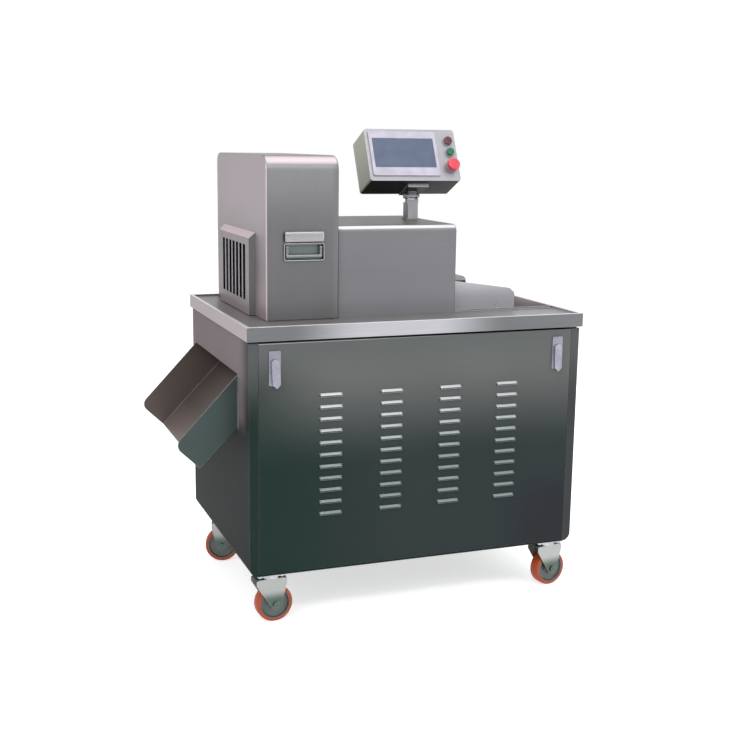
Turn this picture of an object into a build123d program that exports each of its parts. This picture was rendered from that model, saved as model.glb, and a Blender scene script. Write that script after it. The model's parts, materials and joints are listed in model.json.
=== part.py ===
from build123d import *
import math
import os

# Meat dicer on a wheeled cabinet: a feed belt carries the meat from the right end through slitting
# rolls, a rotating knife cuts the strips off, and the cubes fall down the chute at the left end.
# Everything is laid out from the table's left end, its front edge and the floor, in millimetres.

# Table
table_length = 1000.0
table_depth = 706.0
table_height = 830.0
band_height = 39.0
rim_width = 10.0
rim_rise = 6.0
table_sheet = 2.0

# Cabinet
cabinet_inset = 7.0
cabinet_gap = 5.0
cabinet_clearance = 142.0
skin = 1.5
corner_radius = 25.0
corner_width = 25.0
frame_tube = 30.0
tube_wall = 2.0

# Louvred front panel and its latches
panel_gap = 1.5
panel_depth = 18.0
panel_drop = 1.5
panel_bottom_gap = 3.0
pivot_setback = 5.0
pivot_height = 8.0
pivot_radius = 3.0
louvre_columns = 4
louvre_rows = 11
louvre_pitch_x = 176.4
louvre_pitch_z = 33.2
louvre_width = 66.0
louvre_height = 10.0
louvre_proud = 6.0
louvre_top_drop = 147.5
latch_inset = 44.0
latch_drop = 20.0
latch_plate_width = 33.0
latch_plate_height = 94.0
latch_plate_thick = 3.0
latch_lever_thick = 7.0
latch_lever_width = 22.0
latch_lever_length = 80.0
latch_lever_point = 11.0
latch_lean_left = -3.6
latch_lean_right = -2.0

# Discharge chute
chute_front = 125.0
chute_back_inset = 45.0
chute_angle = 46.0
chute_wall = 97.0
chute_run = 255.0
chute_top_drop = 152.0
chute_sheet = 2.0
chute_flange = 9.0
mouth_radius = 25.0

# Knife cover
cover_left = 88.0
cover_width = 208.0
cover_front = 128.0
cover_back_inset = 14.0
cover_height = 441.0
cover_lift = 2.0
cover_sheet = 1.5
cover_bend = 45.0
cover_back_bend = 28.0
hinge_back = 8.0
hinge_rise = 9.0
hinge_knuckle = 6.0
hinge_pin_radius = 3.0
hinge_width = 42.0
hinge_leaf = 2.5

# Vent hood on the cover's left side
vent_proud = 17.5
vent_front = 243.0
vent_length = 347.0
vent_height = 215.0
vent_slope = 17.0
vent_end_slope = 7.0
vent_slots = 7
vent_pitch = 40.0
vent_slot_width = 27.0
vent_slot_height = 157.0
vent_slot_base = 38.0

# Cover handle
handle_width = 116.0
handle_height = 80.0
handle_base = 157.0
handle_recess = 12.0
grip_radius = 5.0
grip_drop = 24.0

# Feed cover
feed_cover_gap = 1.0
feed_cover_length = 360.0
feed_cover_front_gap = 30.0
feed_cover_depth = 430.0
feed_cover_height = 250.0
feed_cover_bend = 20.0
infeed_height = 98.0

# Cutting line: belt level, meat channel and rotating knife
belt_level = 35.0
channel_front_inset = 16.0
channel_back_inset = 14.0
channel_height = 44.0
channel_wall = 4.0
knife_offset = 25.0
knife_rise = 40.0
knife_x = 188.0
knife_thick = 4.0
knife_radius = 206.0
knife_gap = 1.0
hub_radius = 44.0
shaft_radius = 12.5
running = 0.05
bearing_radius = 26.0
housing_radius = 36.0
housing_clearance = 0.5
head_plate_x = 298.5
head_plate_thick = 12.0

# Slitting rolls
roll_x = 352.0
lower_roll_z = 20.0
roll_centres = 70.0
disc_radius = 39.0
collar_radius = 15.0
disc_thick = 2.0
disc_pitch = 20.0
disc_offset = 2.5
journal_radius = 10.0
gear_teeth = 28
gear_module = 2.5
gear_width = 12.0

# Feed belt
feed_front = 170.0
feed_width = 170.0
plate_thick = 4.0
roller_radius = 25.0
belt_thick = 2.7
belt_slack = 0.3
drive_roller_x = 428.0
tail_roller_x = 803.0
feed_end_x = 864.0
hold_radius = 30.0
hold_x = 560.0

# Feed well in the table
well_front_gap = 4.0
well_back_gap = 10.0
well_wide_back = 470.0
well_left = 312.0
well_step_gap = 7.0
well_right_inset = 12.0
well_depth = 30.0

# Control box on its post
post_side = 36.0
post_inset = 43.0
post_y = 386.0
post_height = 50.0
box_width = 289.0
box_height = 165.0
box_depth = 102.0
box_shift = 14.0
box_tilt = 25.0
screen_width = 214.0
screen_height = 141.0
display_width = 194.0
display_height = 92.0
box_corner = 8.0
lamp_radius = 13.5
lamp_proud = 12.0
start_radius = 12.0
start_shift = 2.0

# Casters
caster_inset_x = 70.0
caster_front_y = 42.0
caster_rear_inset = 159.0
wheel_radius = 52.0
wheel_width = 36.0
tyre_depth = 9.0
trail = 12.0
axle_radius = 6.0

# Heights and planes worked out from the sizes above
chute_back = table_depth - chute_back_inset
cover_back = table_depth - cover_back_inset
caster_rear_y = table_depth - caster_rear_inset
feed_back = feed_front + feed_width
feed_cover_front = feed_front - feed_cover_front_gap
channel_front = feed_front + channel_front_inset
channel_back = feed_back - channel_back_inset
disc_count = int((channel_back - channel_front) / disc_pitch)
knife_y = feed_back + knife_offset
well_front = feed_front - well_front_gap
well_narrow_back = feed_back + well_back_gap
well_right = table_length - well_right_inset
surface = table_height - rim_rise
underside = surface - table_sheet
band_bottom = table_height - band_height
cabinet_top = band_bottom - cabinet_gap
cabinet_bottom = cabinet_clearance
cabinet_left = cabinet_inset
cabinet_right = table_length - cabinet_inset
cabinet_front = cabinet_inset
cabinet_back = table_depth - cabinet_inset
cover_right = cover_left + cover_width
cover_base = surface + cover_lift
cover_top = table_height + cover_height
hinge_y = cover_back + hinge_back
hinge_z = table_height + hinge_rise
feed_cover_left = cover_right + feed_cover_gap
feed_cover_right = feed_cover_left + feed_cover_length
well_step = feed_cover_right + well_step_gap
post_x = feed_cover_right - post_inset
box_x = post_x - box_shift
feed_cover_back = feed_cover_front + feed_cover_depth
feed_cover_top = table_height + feed_cover_height
channel_base = table_height + belt_level
channel_top = channel_base + channel_height
lower_z = table_height + lower_roll_z
upper_z = lower_z + roll_centres
axis_z = upper_z + knife_rise
belt_axis_z = table_height + belt_level - roller_radius - belt_thick - belt_slack
latch_proud = latch_plate_thick + latch_lever_thick
gland_proud = 24.0
rear_skin_face = cabinet_back + skin

# The row's origin is under the middle of the overall box, on the floor
slope = math.radians(chute_angle)
chute_tip = cabinet_left - chute_run * math.cos(slope)
chute_tip += mouth_radius * (math.cos(slope) + math.sin(slope) - 1)
middle_x = (table_length + chute_tip) / 2
middle_y = (cabinet_front - latch_proud + rear_skin_face + gland_proud) / 2


def slab(x0, x1, y0, y1, z0, z1):
    """A block between two corners."""
    corner = Pos(x0, y0, z0)
    return corner * Box(x1 - x0, y1 - y0, z1 - z0, align=(Align.MIN, Align.MIN, Align.MIN))


def rod_x(x0, x1, y, z, radius):
    """A round bar along X."""
    return Pos((x0 + x1) / 2, y, z) * Rot(0, 90, 0) * Cylinder(radius, abs(x1 - x0))


def rod_y(x, y0, y1, z, radius):
    """A round bar along Y."""
    return Pos(x, (y0 + y1) / 2, z) * Rot(90, 0, 0) * Cylinder(radius, abs(y1 - y0))


def rod_z(x, y, z0, z1, radius):
    """A round bar along Z."""
    return Pos(x, y, (z0 + z1) / 2) * Cylinder(radius, abs(z1 - z0))


def prism_y(points, y0, y1):
    """A plate whose outline is given in X and Z, from y0 to y1."""
    outline = Plane.XZ.offset(-y1) * make_face(Polyline(*points, close=True))
    return extrude(outline, amount=y1 - y0)


def prism_x(points, x0, x1):
    """A plate whose outline is given in Y and Z, from x0 to x1."""
    outline = Plane.YZ.offset(x0) * make_face(Polyline(*points, close=True))
    return extrude(outline, amount=x1 - x0)


def edges_at(part, axis, **limits):
    """The edges along one axis whose middles lie near the given coordinates."""
    picked = part.edges().filter_by(axis)
    for name, value in limits.items():
        picked = picked.filter_by(lambda e: abs(getattr(e.center(), name.upper()) - value) < 0.01)
    return picked


def save(name, *shapes):
    """Write one node, moved from the table's corner to the row's origin."""
    placed = [Pos(-middle_x, -middle_y, 0) * shape for shape in shapes]
    export_step(placed[0] if len(placed) == 1 else Compound(children=placed), f"parts/{name}.step")


os.makedirs("parts", exist_ok=True)

# Worktop: one folded sheet with a raised rim, the drop opening under the knife and the feed well's opening
drop_left = cover_left + 12.0
drop_right = head_plate_x - 14.5
drop_front = cover_front + 22.0
drop_back = chute_back - 21.0
gear_front = feed_front - 26.5
well_cut = (
    slab(well_left, well_right, well_front, well_narrow_back, band_bottom, table_height)
    + slab(well_step, well_right, well_front, well_wide_back, band_bottom, table_height)
)
gear_slot = slab(roll_x - 44, roll_x + 44, gear_front, well_front + 1, band_bottom, table_height)
worktop = slab(0, table_length, 0, table_depth, band_bottom, table_height)
worktop -= slab(rim_width, table_length - rim_width, rim_width, table_depth - rim_width,
                surface, table_height)
worktop -= slab(table_sheet, table_length - table_sheet, table_sheet, table_depth - table_sheet,
                band_bottom, underside)
worktop -= slab(drop_left, drop_right, drop_front, drop_back, band_bottom, table_height)
worktop -= well_cut + gear_slot
collar_depth = 34.0
collar = slab(drop_left - table_sheet, drop_right + table_sheet, drop_front - table_sheet,
              drop_back + table_sheet, underside - collar_depth, underside)
collar -= slab(drop_left, drop_right, drop_front, drop_back, underside - collar_depth, underside)
save("worktop", worktop + collar)

# Feed well: a shallow pan with its lip at rim level, hung by flanges that rest on the worktop
well_fit = 0.5
pan_front, pan_back = well_front + well_fit, well_narrow_back - well_fit
pan_wide_back = well_wide_back - well_fit
pan_left, pan_right = well_left + well_fit, well_right - well_fit
pan_step = well_step + well_fit
pan_bottom = surface - well_depth
pan_floor = pan_bottom + skin
pan = (
    slab(pan_left, pan_right, pan_front, pan_back, pan_bottom, table_height)
    + slab(pan_step, pan_right, pan_front, pan_wide_back, pan_bottom, table_height)
)
pan -= slab(pan_left + skin, pan_right - skin, pan_front + skin, pan_back - skin, pan_floor, table_height)
pan -= slab(pan_step + skin, pan_right - skin, pan_front + skin, pan_wide_back - skin,
            pan_floor, table_height)
pan_flange = 8.0
pan += slab(roll_x + 44 + well_fit, pan_right, pan_front - pan_flange, pan_front, surface, surface + skin)
pan += slab(pan_left, pan_step, pan_back, pan_back + pan_flange, surface, surface + skin)
pan += slab(pan_step, pan_right, pan_wide_back, pan_wide_back + pan_flange, surface, surface + skin)
save("feed_well", pan)

# Cabinet shell: left side, bottom and right side in one wrapped sheet, with folded front and rear edges
outer = slab(cabinet_left, cabinet_right, cabinet_front, cabinet_back, cabinet_bottom, cabinet_top)
outer = fillet(edges_at(outer, Axis.Y, z=cabinet_bottom), corner_radius)
inner = slab(cabinet_left + skin, cabinet_right - skin, cabinet_front - 1, cabinet_back + 1,
             cabinet_bottom + skin, cabinet_top + 1)
inner = fillet(edges_at(inner, Axis.Y, z=cabinet_bottom + skin), corner_radius - skin)
shell = outer - inner
left_edge = cabinet_left + corner_width
right_edge = cabinet_right - corner_width
for x0, x1, lip in ((cabinet_left, left_edge, left_edge - skin), (right_edge, cabinet_right, right_edge)):
    shell += outer & slab(x0, x1, cabinet_front, cabinet_front + skin, cabinet_bottom, cabinet_top)
    shell += outer & slab(lip, lip + skin, cabinet_front, cabinet_front + panel_depth,
                          cabinet_bottom, cabinet_top)
    shell += outer & slab(x0, x1, cabinet_back - skin, cabinet_back, cabinet_bottom, cabinet_top)
chute_fit = 0.5
opening_top = table_height - chute_top_drop + 6.0
wall_rise = chute_wall / math.cos(slope)
opening_bottom = table_height - chute_top_drop - wall_rise - 4.0
shell -= slab(cabinet_left - 1, cabinet_left + skin + 1, chute_front - chute_fit, chute_back + chute_fit,
              opening_bottom, opening_top)

# Welded frame inside the shell: four posts, the rails under the table and the rails on the bottom sheet
post_front = cabinet_front + panel_depth + 3.0
post_back = cabinet_back - skin - frame_tube
post_left = cabinet_left + skin
post_right = cabinet_right - skin - frame_tube
frame_base = cabinet_bottom + skin + 1.0


def tube(x0, x1, y0, y1, z0, z1, along):
    """A square tube between two corners, open at its ends along one axis."""
    w = tube_wall
    sides = {"x": (0, w, w), "y": (w, 0, w), "z": (w, w, 0)}[along]
    core = slab(x0 + sides[0], x1 - sides[0], y0 + sides[1], y1 - sides[1], z0 + sides[2], z1 - sides[2])
    return slab(x0, x1, y0, y1, z0, z1) - core


foot_rise = corner_radius
frame = []
for px in (post_left, post_right):
    for py in (post_front, post_back):
        frame.append(tube(px, px + frame_tube, py, py + frame_tube, frame_base + foot_rise, underside, "z"))
    rail_top = min(underside, surface - well_depth - 1.0) if px > post_left else underside
    side_rail = rail_top - frame_tube
    for z0 in (frame_base + foot_rise, side_rail):
        frame.append(tube(px, px + frame_tube, post_front + frame_tube, post_back, z0, z0 + frame_tube, "y"))
for py in (post_front, post_back):
    for z0 in (frame_base + foot_rise, underside - frame_tube):
        frame.append(tube(post_left + frame_tube, post_right, py, py + frame_tube, z0, z0 + frame_tube, "x"))
bearer_width = 80.0
bearer_left = cabinet_left + corner_radius + 3.0
for py in (post_front, caster_rear_y - bearer_width / 2):
    low = slab(bearer_left, table_length - bearer_left, py, py + bearer_width,
               cabinet_bottom + skin, frame_base + foot_rise)
    low -= slab(bearer_left + tube_wall, table_length - bearer_left - tube_wall, py + tube_wall,
                py + bearer_width - tube_wall, cabinet_bottom + skin, frame_base + foot_rise - tube_wall)
    frame.append(low)


def louvre():
    """One pressed louvre at the origin, standing out towards -Y, and the slot behind it."""
    base = Plane.XZ * Rectangle(louvre_width, 2 * louvre_height)
    hood = extrude(base, amount=louvre_proud, taper=40)
    inside = Plane.XZ * Rectangle(louvre_width - 2 * skin, 2 * (louvre_height - skin))
    hood -= extrude(inside, amount=louvre_proud - skin, taper=40)
    hood &= slab(-louvre_width, louvre_width, -louvre_proud - 1, 1, 0, louvre_height)
    slot = slab(-louvre_width / 2 + skin, louvre_width / 2 - skin, -1, skin + 1, 0, louvre_height - 2 * skin)
    return hood, slot


# Louvred front panel: a shallow pan that tips out on two pins at its bottom corners
panel_left = left_edge + panel_gap
panel_right = right_edge - panel_gap
panel_top = cabinet_top - panel_drop
panel_base = cabinet_bottom + skin + panel_bottom_gap
panel_back = cabinet_front + panel_depth
pivot_y = cabinet_front + pivot_setback
pivot_z = panel_base + pivot_height
panel = slab(panel_left, panel_right, cabinet_front, panel_back, panel_base, panel_top)
panel -= slab(panel_left + skin, panel_right - skin, cabinet_front + skin, panel_back + 1,
              panel_base + skin, panel_top - skin)
hood, slot = louvre()
panel_mid = (panel_left + panel_right) / 2
spots = [
    Pos(panel_mid + (c - (louvre_columns - 1) / 2) * louvre_pitch_x, cabinet_front,
        panel_top - louvre_top_drop - r * louvre_pitch_z - louvre_height / 2)
    for c in range(louvre_columns)
    for r in range(louvre_rows)
]
panel = panel - [spot * slot for spot in spots]
panel = panel + [spot * hood for spot in spots]
for x0 in (panel_left - 1, panel_right - skin - 1):
    panel -= rod_x(x0, x0 + skin + 2, pivot_y, pivot_z, pivot_radius + running)
latch_x = (panel_left + latch_inset, panel_right - latch_inset)
latch_top = panel_top - latch_drop
latch_z = latch_top - 33.0
latch_stem = 8.0
for x in latch_x:
    panel -= rod_y(x, cabinet_front - 1, cabinet_front + skin + 1, latch_z, latch_stem + 1.0)
save("front_panel", panel)
pin_reach = skin + panel_gap + skin + 4.0
shell += rod_x(left_edge - skin, left_edge - skin + pin_reach, pivot_y, pivot_z, pivot_radius)
shell += rod_x(right_edge + skin - pin_reach, right_edge + skin, pivot_y, pivot_z, pivot_radius)
save("cabinet_shell", shell)

# Swing-lever latches: a plate on the panel, and a lever with its stem and tongue behind
plates = []
for x in latch_x:
    plate = slab(x - latch_plate_width / 2, x + latch_plate_width / 2, cabinet_front - latch_plate_thick,
                 cabinet_front, latch_top - latch_plate_height, latch_top)
    plate = fillet(plate.edges().filter_by(Axis.Y), 4.0)
    plates.append(plate - rod_y(x, cabinet_front - 9, cabinet_front + 1, latch_z, latch_stem + running))
save("latch_plates", *plates)
tip_z = latch_lever_length - latch_lever_width / 2
for side, x, lean in (("left", latch_x[0], latch_lean_left), ("right", latch_x[1], latch_lean_right)):
    half = latch_lever_width / 2
    corner_z = latch_lever_point - tip_z
    outline = make_face(
        Polyline((half, 0), (half, corner_z), (0, -tip_z), (-half, corner_z), (-half, 0))
        + ThreePointArc((-half, 0), (0, half), (half, 0))
    )
    face_y = cabinet_front - latch_plate_thick - 0.3
    lever = extrude(Plane.XZ.offset(-face_y) * outline, amount=latch_lever_thick - 0.3)
    lever = Pos(x, 0, latch_z) * Rot(0, lean, 0) * lever
    stem = rod_y(x, face_y, cabinet_front + 22, latch_z, latch_stem)
    tongue = slab(x - 9, x + 9, cabinet_front + 19, cabinet_front + 22, latch_z - 10, latch_z + 34)
    save(f"latch_lever_{side}", lever + stem + tongue)

# Rear panel with its screws
rear_panel = slab(cabinet_left + 2, cabinet_right - 2, cabinet_back, rear_skin_face,
                  cabinet_bottom + corner_radius, cabinet_top - 4)
switch_x, switch_z = table_length - 250.0, table_height - 250.0
gland_x, gland_z = table_length - 140.0, cabinet_bottom + 80.0
gland_hole, switch_hole = 8.0, 6.0
rear_panel -= rod_y(gland_x, cabinet_back - 1, rear_skin_face + 1, gland_z, gland_hole)
rear_panel -= rod_y(switch_x, cabinet_back - 1, rear_skin_face + 1, switch_z, switch_hole)
rear_slot_rows = 8
for column in (-1, 1):
    for row in range(rear_slot_rows):
        x, z = table_length / 2 + column * louvre_pitch_x / 2, cabinet_bottom + 120 + row * 24.0
        rear_panel -= slab(x - 50, x + 50, cabinet_back - 1, rear_skin_face + 1, z, z + 6)
screws = []
for x in (cabinet_left + 14, table_length / 2, cabinet_right - 14):
    for z in (cabinet_bottom + corner_radius + 12, cabinet_top - 16):
        screws.append(rod_y(x, rear_skin_face, rear_skin_face + 3, z, 5.0))
save("rear_panel", rear_panel, *screws)

# Cable gland and main switch on the rear panel
gland = rod_y(gland_x, rear_skin_face, rear_skin_face + 6, gland_z, 14.0)
gland += rod_y(gland_x, rear_skin_face + 6, rear_skin_face + gland_proud, gland_z, 11.0)
gland += rod_y(gland_x, cabinet_back - 8, rear_skin_face, gland_z, gland_hole)
gland -= rod_y(gland_x, cabinet_back - 9, rear_skin_face + gland_proud + 1, gland_z, 5.0)
save("cable_gland", gland)
switch_base_thick = 5.0
switch_plate = slab(switch_x - 30, switch_x + 30, rear_skin_face, rear_skin_face + switch_base_thick,
                    switch_z - 30, switch_z + 30)
switch_plate -= rod_y(switch_x, rear_skin_face - 1, rear_skin_face + 9, switch_z, switch_hole)
save("switch_plate", switch_plate)
knob = rod_y(switch_x, rear_skin_face + switch_base_thick + 0.3, rear_skin_face + 14, switch_z, 21.0)
knob += slab(switch_x - 5, switch_x + 5, rear_skin_face + 13, rear_skin_face + gland_proud - 1,
             switch_z - 20, switch_z + 20)
knob += rod_y(switch_x, cabinet_back - 5, rear_skin_face + 6, switch_z, switch_hole - running)
save("switch_knob", knob)

# Control cabinet on the rear panel's inner face
box_front_y = cabinet_back - 150.0
control_half, gland_room = 150.0, 68.0
control_cabinet = slab(switch_x - control_half, switch_x + control_half, box_front_y, cabinet_back - 0.5,
                       gland_z + gland_room, switch_z + 60)
control_cabinet = fillet(control_cabinet.edges().filter_by(Axis.Z), 6.0)
control_cabinet -= rod_y(switch_x, cabinet_back - 30, cabinet_back, switch_z, switch_hole + 2)
save("control_cabinet", control_cabinet)

# Discharge chute: a sheet trough on a slope, with tall cheeks under the drop opening
run_x, run_z = math.cos(slope), math.sin(slope)
top_x, top_z = cabinet_left, table_height - chute_top_drop
tip_x, tip_drop = top_x - chute_run * run_x, top_z - chute_run * run_z
floor_x, floor_z = tip_x + chute_wall * run_z, tip_drop - chute_wall * run_x
inner_top = underside - collar_depth - 2.0 + 30.0
floor_end_x = drop_right + table_sheet + 2.0
floor_end_z = floor_z + (floor_end_x - floor_x) * math.tan(slope)
cheek_left = post_left + frame_tube + 2.0
cheek_top = underside - 1.0
cheek_points = [
    (tip_x, tip_drop), (floor_x, floor_z), (floor_end_x, floor_end_z), (floor_end_x, cheek_top),
    (cheek_left, cheek_top), (cheek_left, opening_top - 1), (top_x, opening_top - 1),
]
cheek = make_face(Polyline(*cheek_points, close=True))
cheek = fillet(cheek.vertices().sort_by(Axis.X)[0], mouth_radius)
trough = extrude(Plane.XZ.offset(-chute_back) * cheek, amount=chute_back - chute_front)
lining = [
    (tip_x - 40, tip_drop - 40 * math.tan(slope) + 40), (floor_x - 60 * run_x, floor_z - 60 * run_z),
    (floor_end_x - chute_sheet, floor_end_z - chute_sheet * math.tan(slope)),
    (floor_end_x - chute_sheet, cheek_top + 40), (tip_x - 40, cheek_top + 40),
]
lift = chute_sheet / math.cos(slope)
lining = [(px, pz + lift if n in (1, 2) else pz) for n, (px, pz) in enumerate(lining)]
trough -= prism_y(lining, chute_front + chute_sheet, chute_back - chute_sheet)
flange_back = cabinet_left - 1.5
for y0 in (chute_front - chute_flange, chute_back):
    trough += slab(flange_back, cabinet_left, y0, y0 + chute_flange, opening_bottom - 4, opening_top + 2)
save("discharge_chute", trough)

# Knife cover: a tall hood that lifts on hinges behind the rim, open below and cut out round the meat channel
hood_box = slab(cover_left, cover_right, cover_front, cover_back, cover_base, cover_top)
hood_box = fillet(edges_at(hood_box, Axis.X, y=cover_front, z=cover_top), cover_bend)
hood_box = fillet(edges_at(hood_box, Axis.X, y=cover_back, z=cover_top), cover_back_bend)
hollow = slab(cover_left + cover_sheet, cover_right - cover_sheet, cover_front + cover_sheet,
              cover_back - cover_sheet, cover_base - 1, cover_top - cover_sheet)
hollow = fillet(
    edges_at(hollow, Axis.X, y=cover_front + cover_sheet, z=cover_top - cover_sheet), cover_bend - cover_sheet)
hollow = fillet(
    edges_at(hollow, Axis.X, y=cover_back - cover_sheet, z=cover_top - cover_sheet), cover_back_bend - cover_sheet)
knife_cover = hood_box - hollow
cut_outer = hinge_y - channel_front + channel_wall + 18.0
cut_inner = hinge_y - knife_y - housing_radius - 20.0
cut_top = axis_z + housing_radius + 14.0
ring = rod_x(cover_right - cover_sheet - 1, cover_right + 1, hinge_y, hinge_z, cut_outer)
ring -= rod_x(cover_right - cover_sheet - 1, cover_right + 1, hinge_y, hinge_z, cut_inner)
ring &= slab(cover_right - 9, cover_right + 9, cover_front, hinge_y, cover_base - 1, cut_top)
knife_cover -= ring
vent_mid = vent_front + vent_length / 2
knife_cover -= slab(cover_left - 1, cover_left + cover_sheet + 1, vent_front + 15, vent_front + vent_length - 15,
                    cover_base + 25, cover_base + vent_height - 20)
handle_x0 = (cover_left + cover_right) / 2 - handle_width / 2 + 3.0
handle_x1 = handle_x0 + handle_width
handle_z0 = table_height + handle_base
frame_top = handle_z0 + 49.0
pan_inset = 5.0
knife_cover -= slab(handle_x0 + pan_inset, handle_x1 - pan_inset, cover_front - 1, cover_front + cover_sheet + 1,
                    handle_z0 + pan_inset, frame_top - pan_inset)
save("knife_cover", knife_cover)

# Vent hood: a sloped box with seven upright slots, welded over the window in the cover's left side


def frustum(inset):
    """The vent hood's outer form, drawn in by one wall thickness."""
    x_out = cover_left - vent_proud + inset
    wide = Plane.YZ.offset(cover_left) * Pos(vent_mid, cover_base + (vent_height + vent_slope) / 2) * Rectangle(
        vent_length + 2 * vent_end_slope - 2 * inset, vent_height + vent_slope - 2 * inset)
    near = Plane.YZ.offset(x_out) * Pos(vent_mid, cover_base + vent_height / 2) * Rectangle(
        vent_length - 2 * inset, vent_height - 2 * inset)
    return loft([near, wide])


vent_hood = frustum(0) - frustum(cover_sheet)
for n in range(vent_slots):
    y = vent_mid + (n - (vent_slots - 1) / 2) * vent_pitch
    vent_hood -= slab(cover_left - vent_proud - 1, cover_left - vent_proud + cover_sheet + 1,
                      y - vent_slot_width / 2, y + vent_slot_width / 2,
                      cover_base + vent_slot_base, cover_base + vent_slot_base + vent_slot_height)
save("vent_hood", vent_hood)

# Folding handle: a recessed pan with a brow over it, and a bail on a pin across the top
pan_face = cover_front - 5.0
handle_pan = slab(handle_x0, handle_x1, pan_face, cover_front, handle_z0, frame_top)
handle_pan = fillet(handle_pan.edges().filter_by(Axis.Y), 5.0)
handle_pan += slab(handle_x0 + pan_inset, handle_x1 - pan_inset, cover_front, cover_front + handle_recess,
                   handle_z0 + pan_inset, frame_top - pan_inset)
handle_pan -= slab(handle_x0 + pan_inset + skin, handle_x1 - pan_inset - skin, pan_face - 1,
                   cover_front + handle_recess - skin, handle_z0 + pan_inset + skin, frame_top - pan_inset - skin)
brow = slab(handle_x0, handle_x1, cover_front - 10, cover_front, frame_top + 3, handle_z0 + handle_height)
brow = fillet(edges_at(brow, Axis.X, y=cover_front - 10), 5.0)
handle_pan += brow + slab(handle_x0 + 4, handle_x1 - 4, cover_front - 2, cover_front, frame_top - 1, frame_top + 4)
bail_pin_z = frame_top - pan_inset - skin - 6.0
bail_y = cover_front - 1.0
arm_left, arm_right = handle_x0 + pan_inset + skin + 0.5, handle_x1 - pan_inset - skin - 0.5
grip_z = bail_pin_z - grip_drop
bail = rod_x(arm_left + 1, arm_right - 1, bail_y, grip_z, grip_radius)
for x0 in (arm_left, arm_right - 6):
    bail += slab(x0, x0 + 6, bail_y - 3, bail_y + 3, grip_z, bail_pin_z)
    bail += rod_x(x0, x0 + 6, bail_y, bail_pin_z, 4.5)
    bail -= rod_x(x0 - 1, x0 + 7, bail_y, bail_pin_z, 2.0 + running)
save("handle_bail", bail)
save("handle_pan", handle_pan + rod_x(arm_left - 1, arm_right + 1, bail_y, bail_pin_z, 2.0))

# Cover hinges: fixed leaves over the rim with their pins, moving leaves on the cover's back
fixed, moving = [], []
knuckle = hinge_width / 3
for centre in (cover_left + 45, cover_right - 45):
    x0 = centre - hinge_width / 2
    leaf = slab(x0, x0 + hinge_width, table_depth, table_depth + hinge_leaf, band_bottom + 6, hinge_z)
    leaf = leaf + slab(x0, x0 + hinge_width, table_depth - rim_width + 2, table_depth + hinge_leaf, table_height,
                       table_height + hinge_leaf)
    barrel = rod_x(x0, x0 + hinge_width, hinge_y, hinge_z, hinge_knuckle)
    web = slab(x0, x0 + hinge_width, hinge_y - 2, table_depth + hinge_leaf, table_height, hinge_z)
    gap = slab(x0 + knuckle, x0 + 2 * knuckle, hinge_y - 20, hinge_y + 20, table_height + hinge_leaf, hinge_z + 20)
    fixed.append(leaf + barrel + web - gap + rod_x(x0, x0 + hinge_width, hinge_y, hinge_z, hinge_pin_radius))
    strap = slab(x0, x0 + hinge_width, cover_back, cover_back + hinge_leaf, hinge_z - 4, hinge_z + 52)
    strap -= slab(x0 - 1, x0 + knuckle + 0.4, hinge_y - 20, hinge_y + 20, hinge_z - 9, hinge_z + 9)
    strap -= slab(x0 + 2 * knuckle - 0.4, x0 + hinge_width + 1, hinge_y - 20, hinge_y + 20, hinge_z - 9, hinge_z + 9)
    eye = rod_x(x0 + knuckle + 0.4, x0 + 2 * knuckle - 0.4, hinge_y, hinge_z, hinge_knuckle)
    arm = slab(x0 + knuckle + 0.4, x0 + 2 * knuckle - 0.4, cover_back, hinge_y, hinge_z - 2, hinge_z + 5)
    bore = rod_x(x0 + knuckle - 1, x0 + 2 * knuckle + 1, hinge_y, hinge_z, hinge_pin_radius + running)
    moving.append(strap + eye + arm - bore)
save("cover_hinge_base", *fixed)
save("cover_hinge_strap", *moving)

# Feed cover: the fixed low hood over the slitting rolls and the feed drive
low = slab(feed_cover_left, feed_cover_right, feed_cover_front, feed_cover_back, surface, feed_cover_top)
low = fillet(edges_at(low, Axis.X, z=feed_cover_top), feed_cover_bend)
room = slab(feed_cover_left + cover_sheet, feed_cover_right - cover_sheet, feed_cover_front + cover_sheet,
            feed_cover_back - cover_sheet, surface - 1, feed_cover_top - cover_sheet)
room = fillet(edges_at(room, Axis.X, z=feed_cover_top - cover_sheet), feed_cover_bend - cover_sheet)
low -= room
low -= slab(feed_cover_left - 1, feed_cover_left + cover_sheet + 1, channel_front - channel_wall - 5,
            knife_y + housing_radius + 5, surface - 1, axis_z + housing_radius + 5)
low -= slab(feed_cover_right - 9, feed_cover_right + 1, well_front - 10, well_narrow_back + 10,
            surface - 1, table_height + infeed_height)
save("feed_cover", low)

# Infeed guard: a rounded hood over the belt where the meat goes in
guard_reach = 49.0
guard_drop = 36.0
guard = slab(feed_cover_right - 1, feed_cover_right + guard_reach, feed_front + plate_thick + 1,
             feed_back - plate_thick - 1, table_height + infeed_height - guard_drop, table_height + infeed_height)
guard = fillet(edges_at(guard, Axis.Y, x=feed_cover_right + guard_reach, z=table_height + infeed_height), 14.0)
guard -= slab(feed_cover_right - 2, feed_cover_right + guard_reach - skin, 0, table_depth,
              table_height + infeed_height - guard_drop - 1, table_height + infeed_height - 14.0)
guard += slab(feed_cover_right, feed_cover_right + skin, feed_front + plate_thick + 1,
              feed_back - plate_thick - 1, table_height + infeed_height - 14, table_height + infeed_height + 14)
save("infeed_guard", guard)

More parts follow.
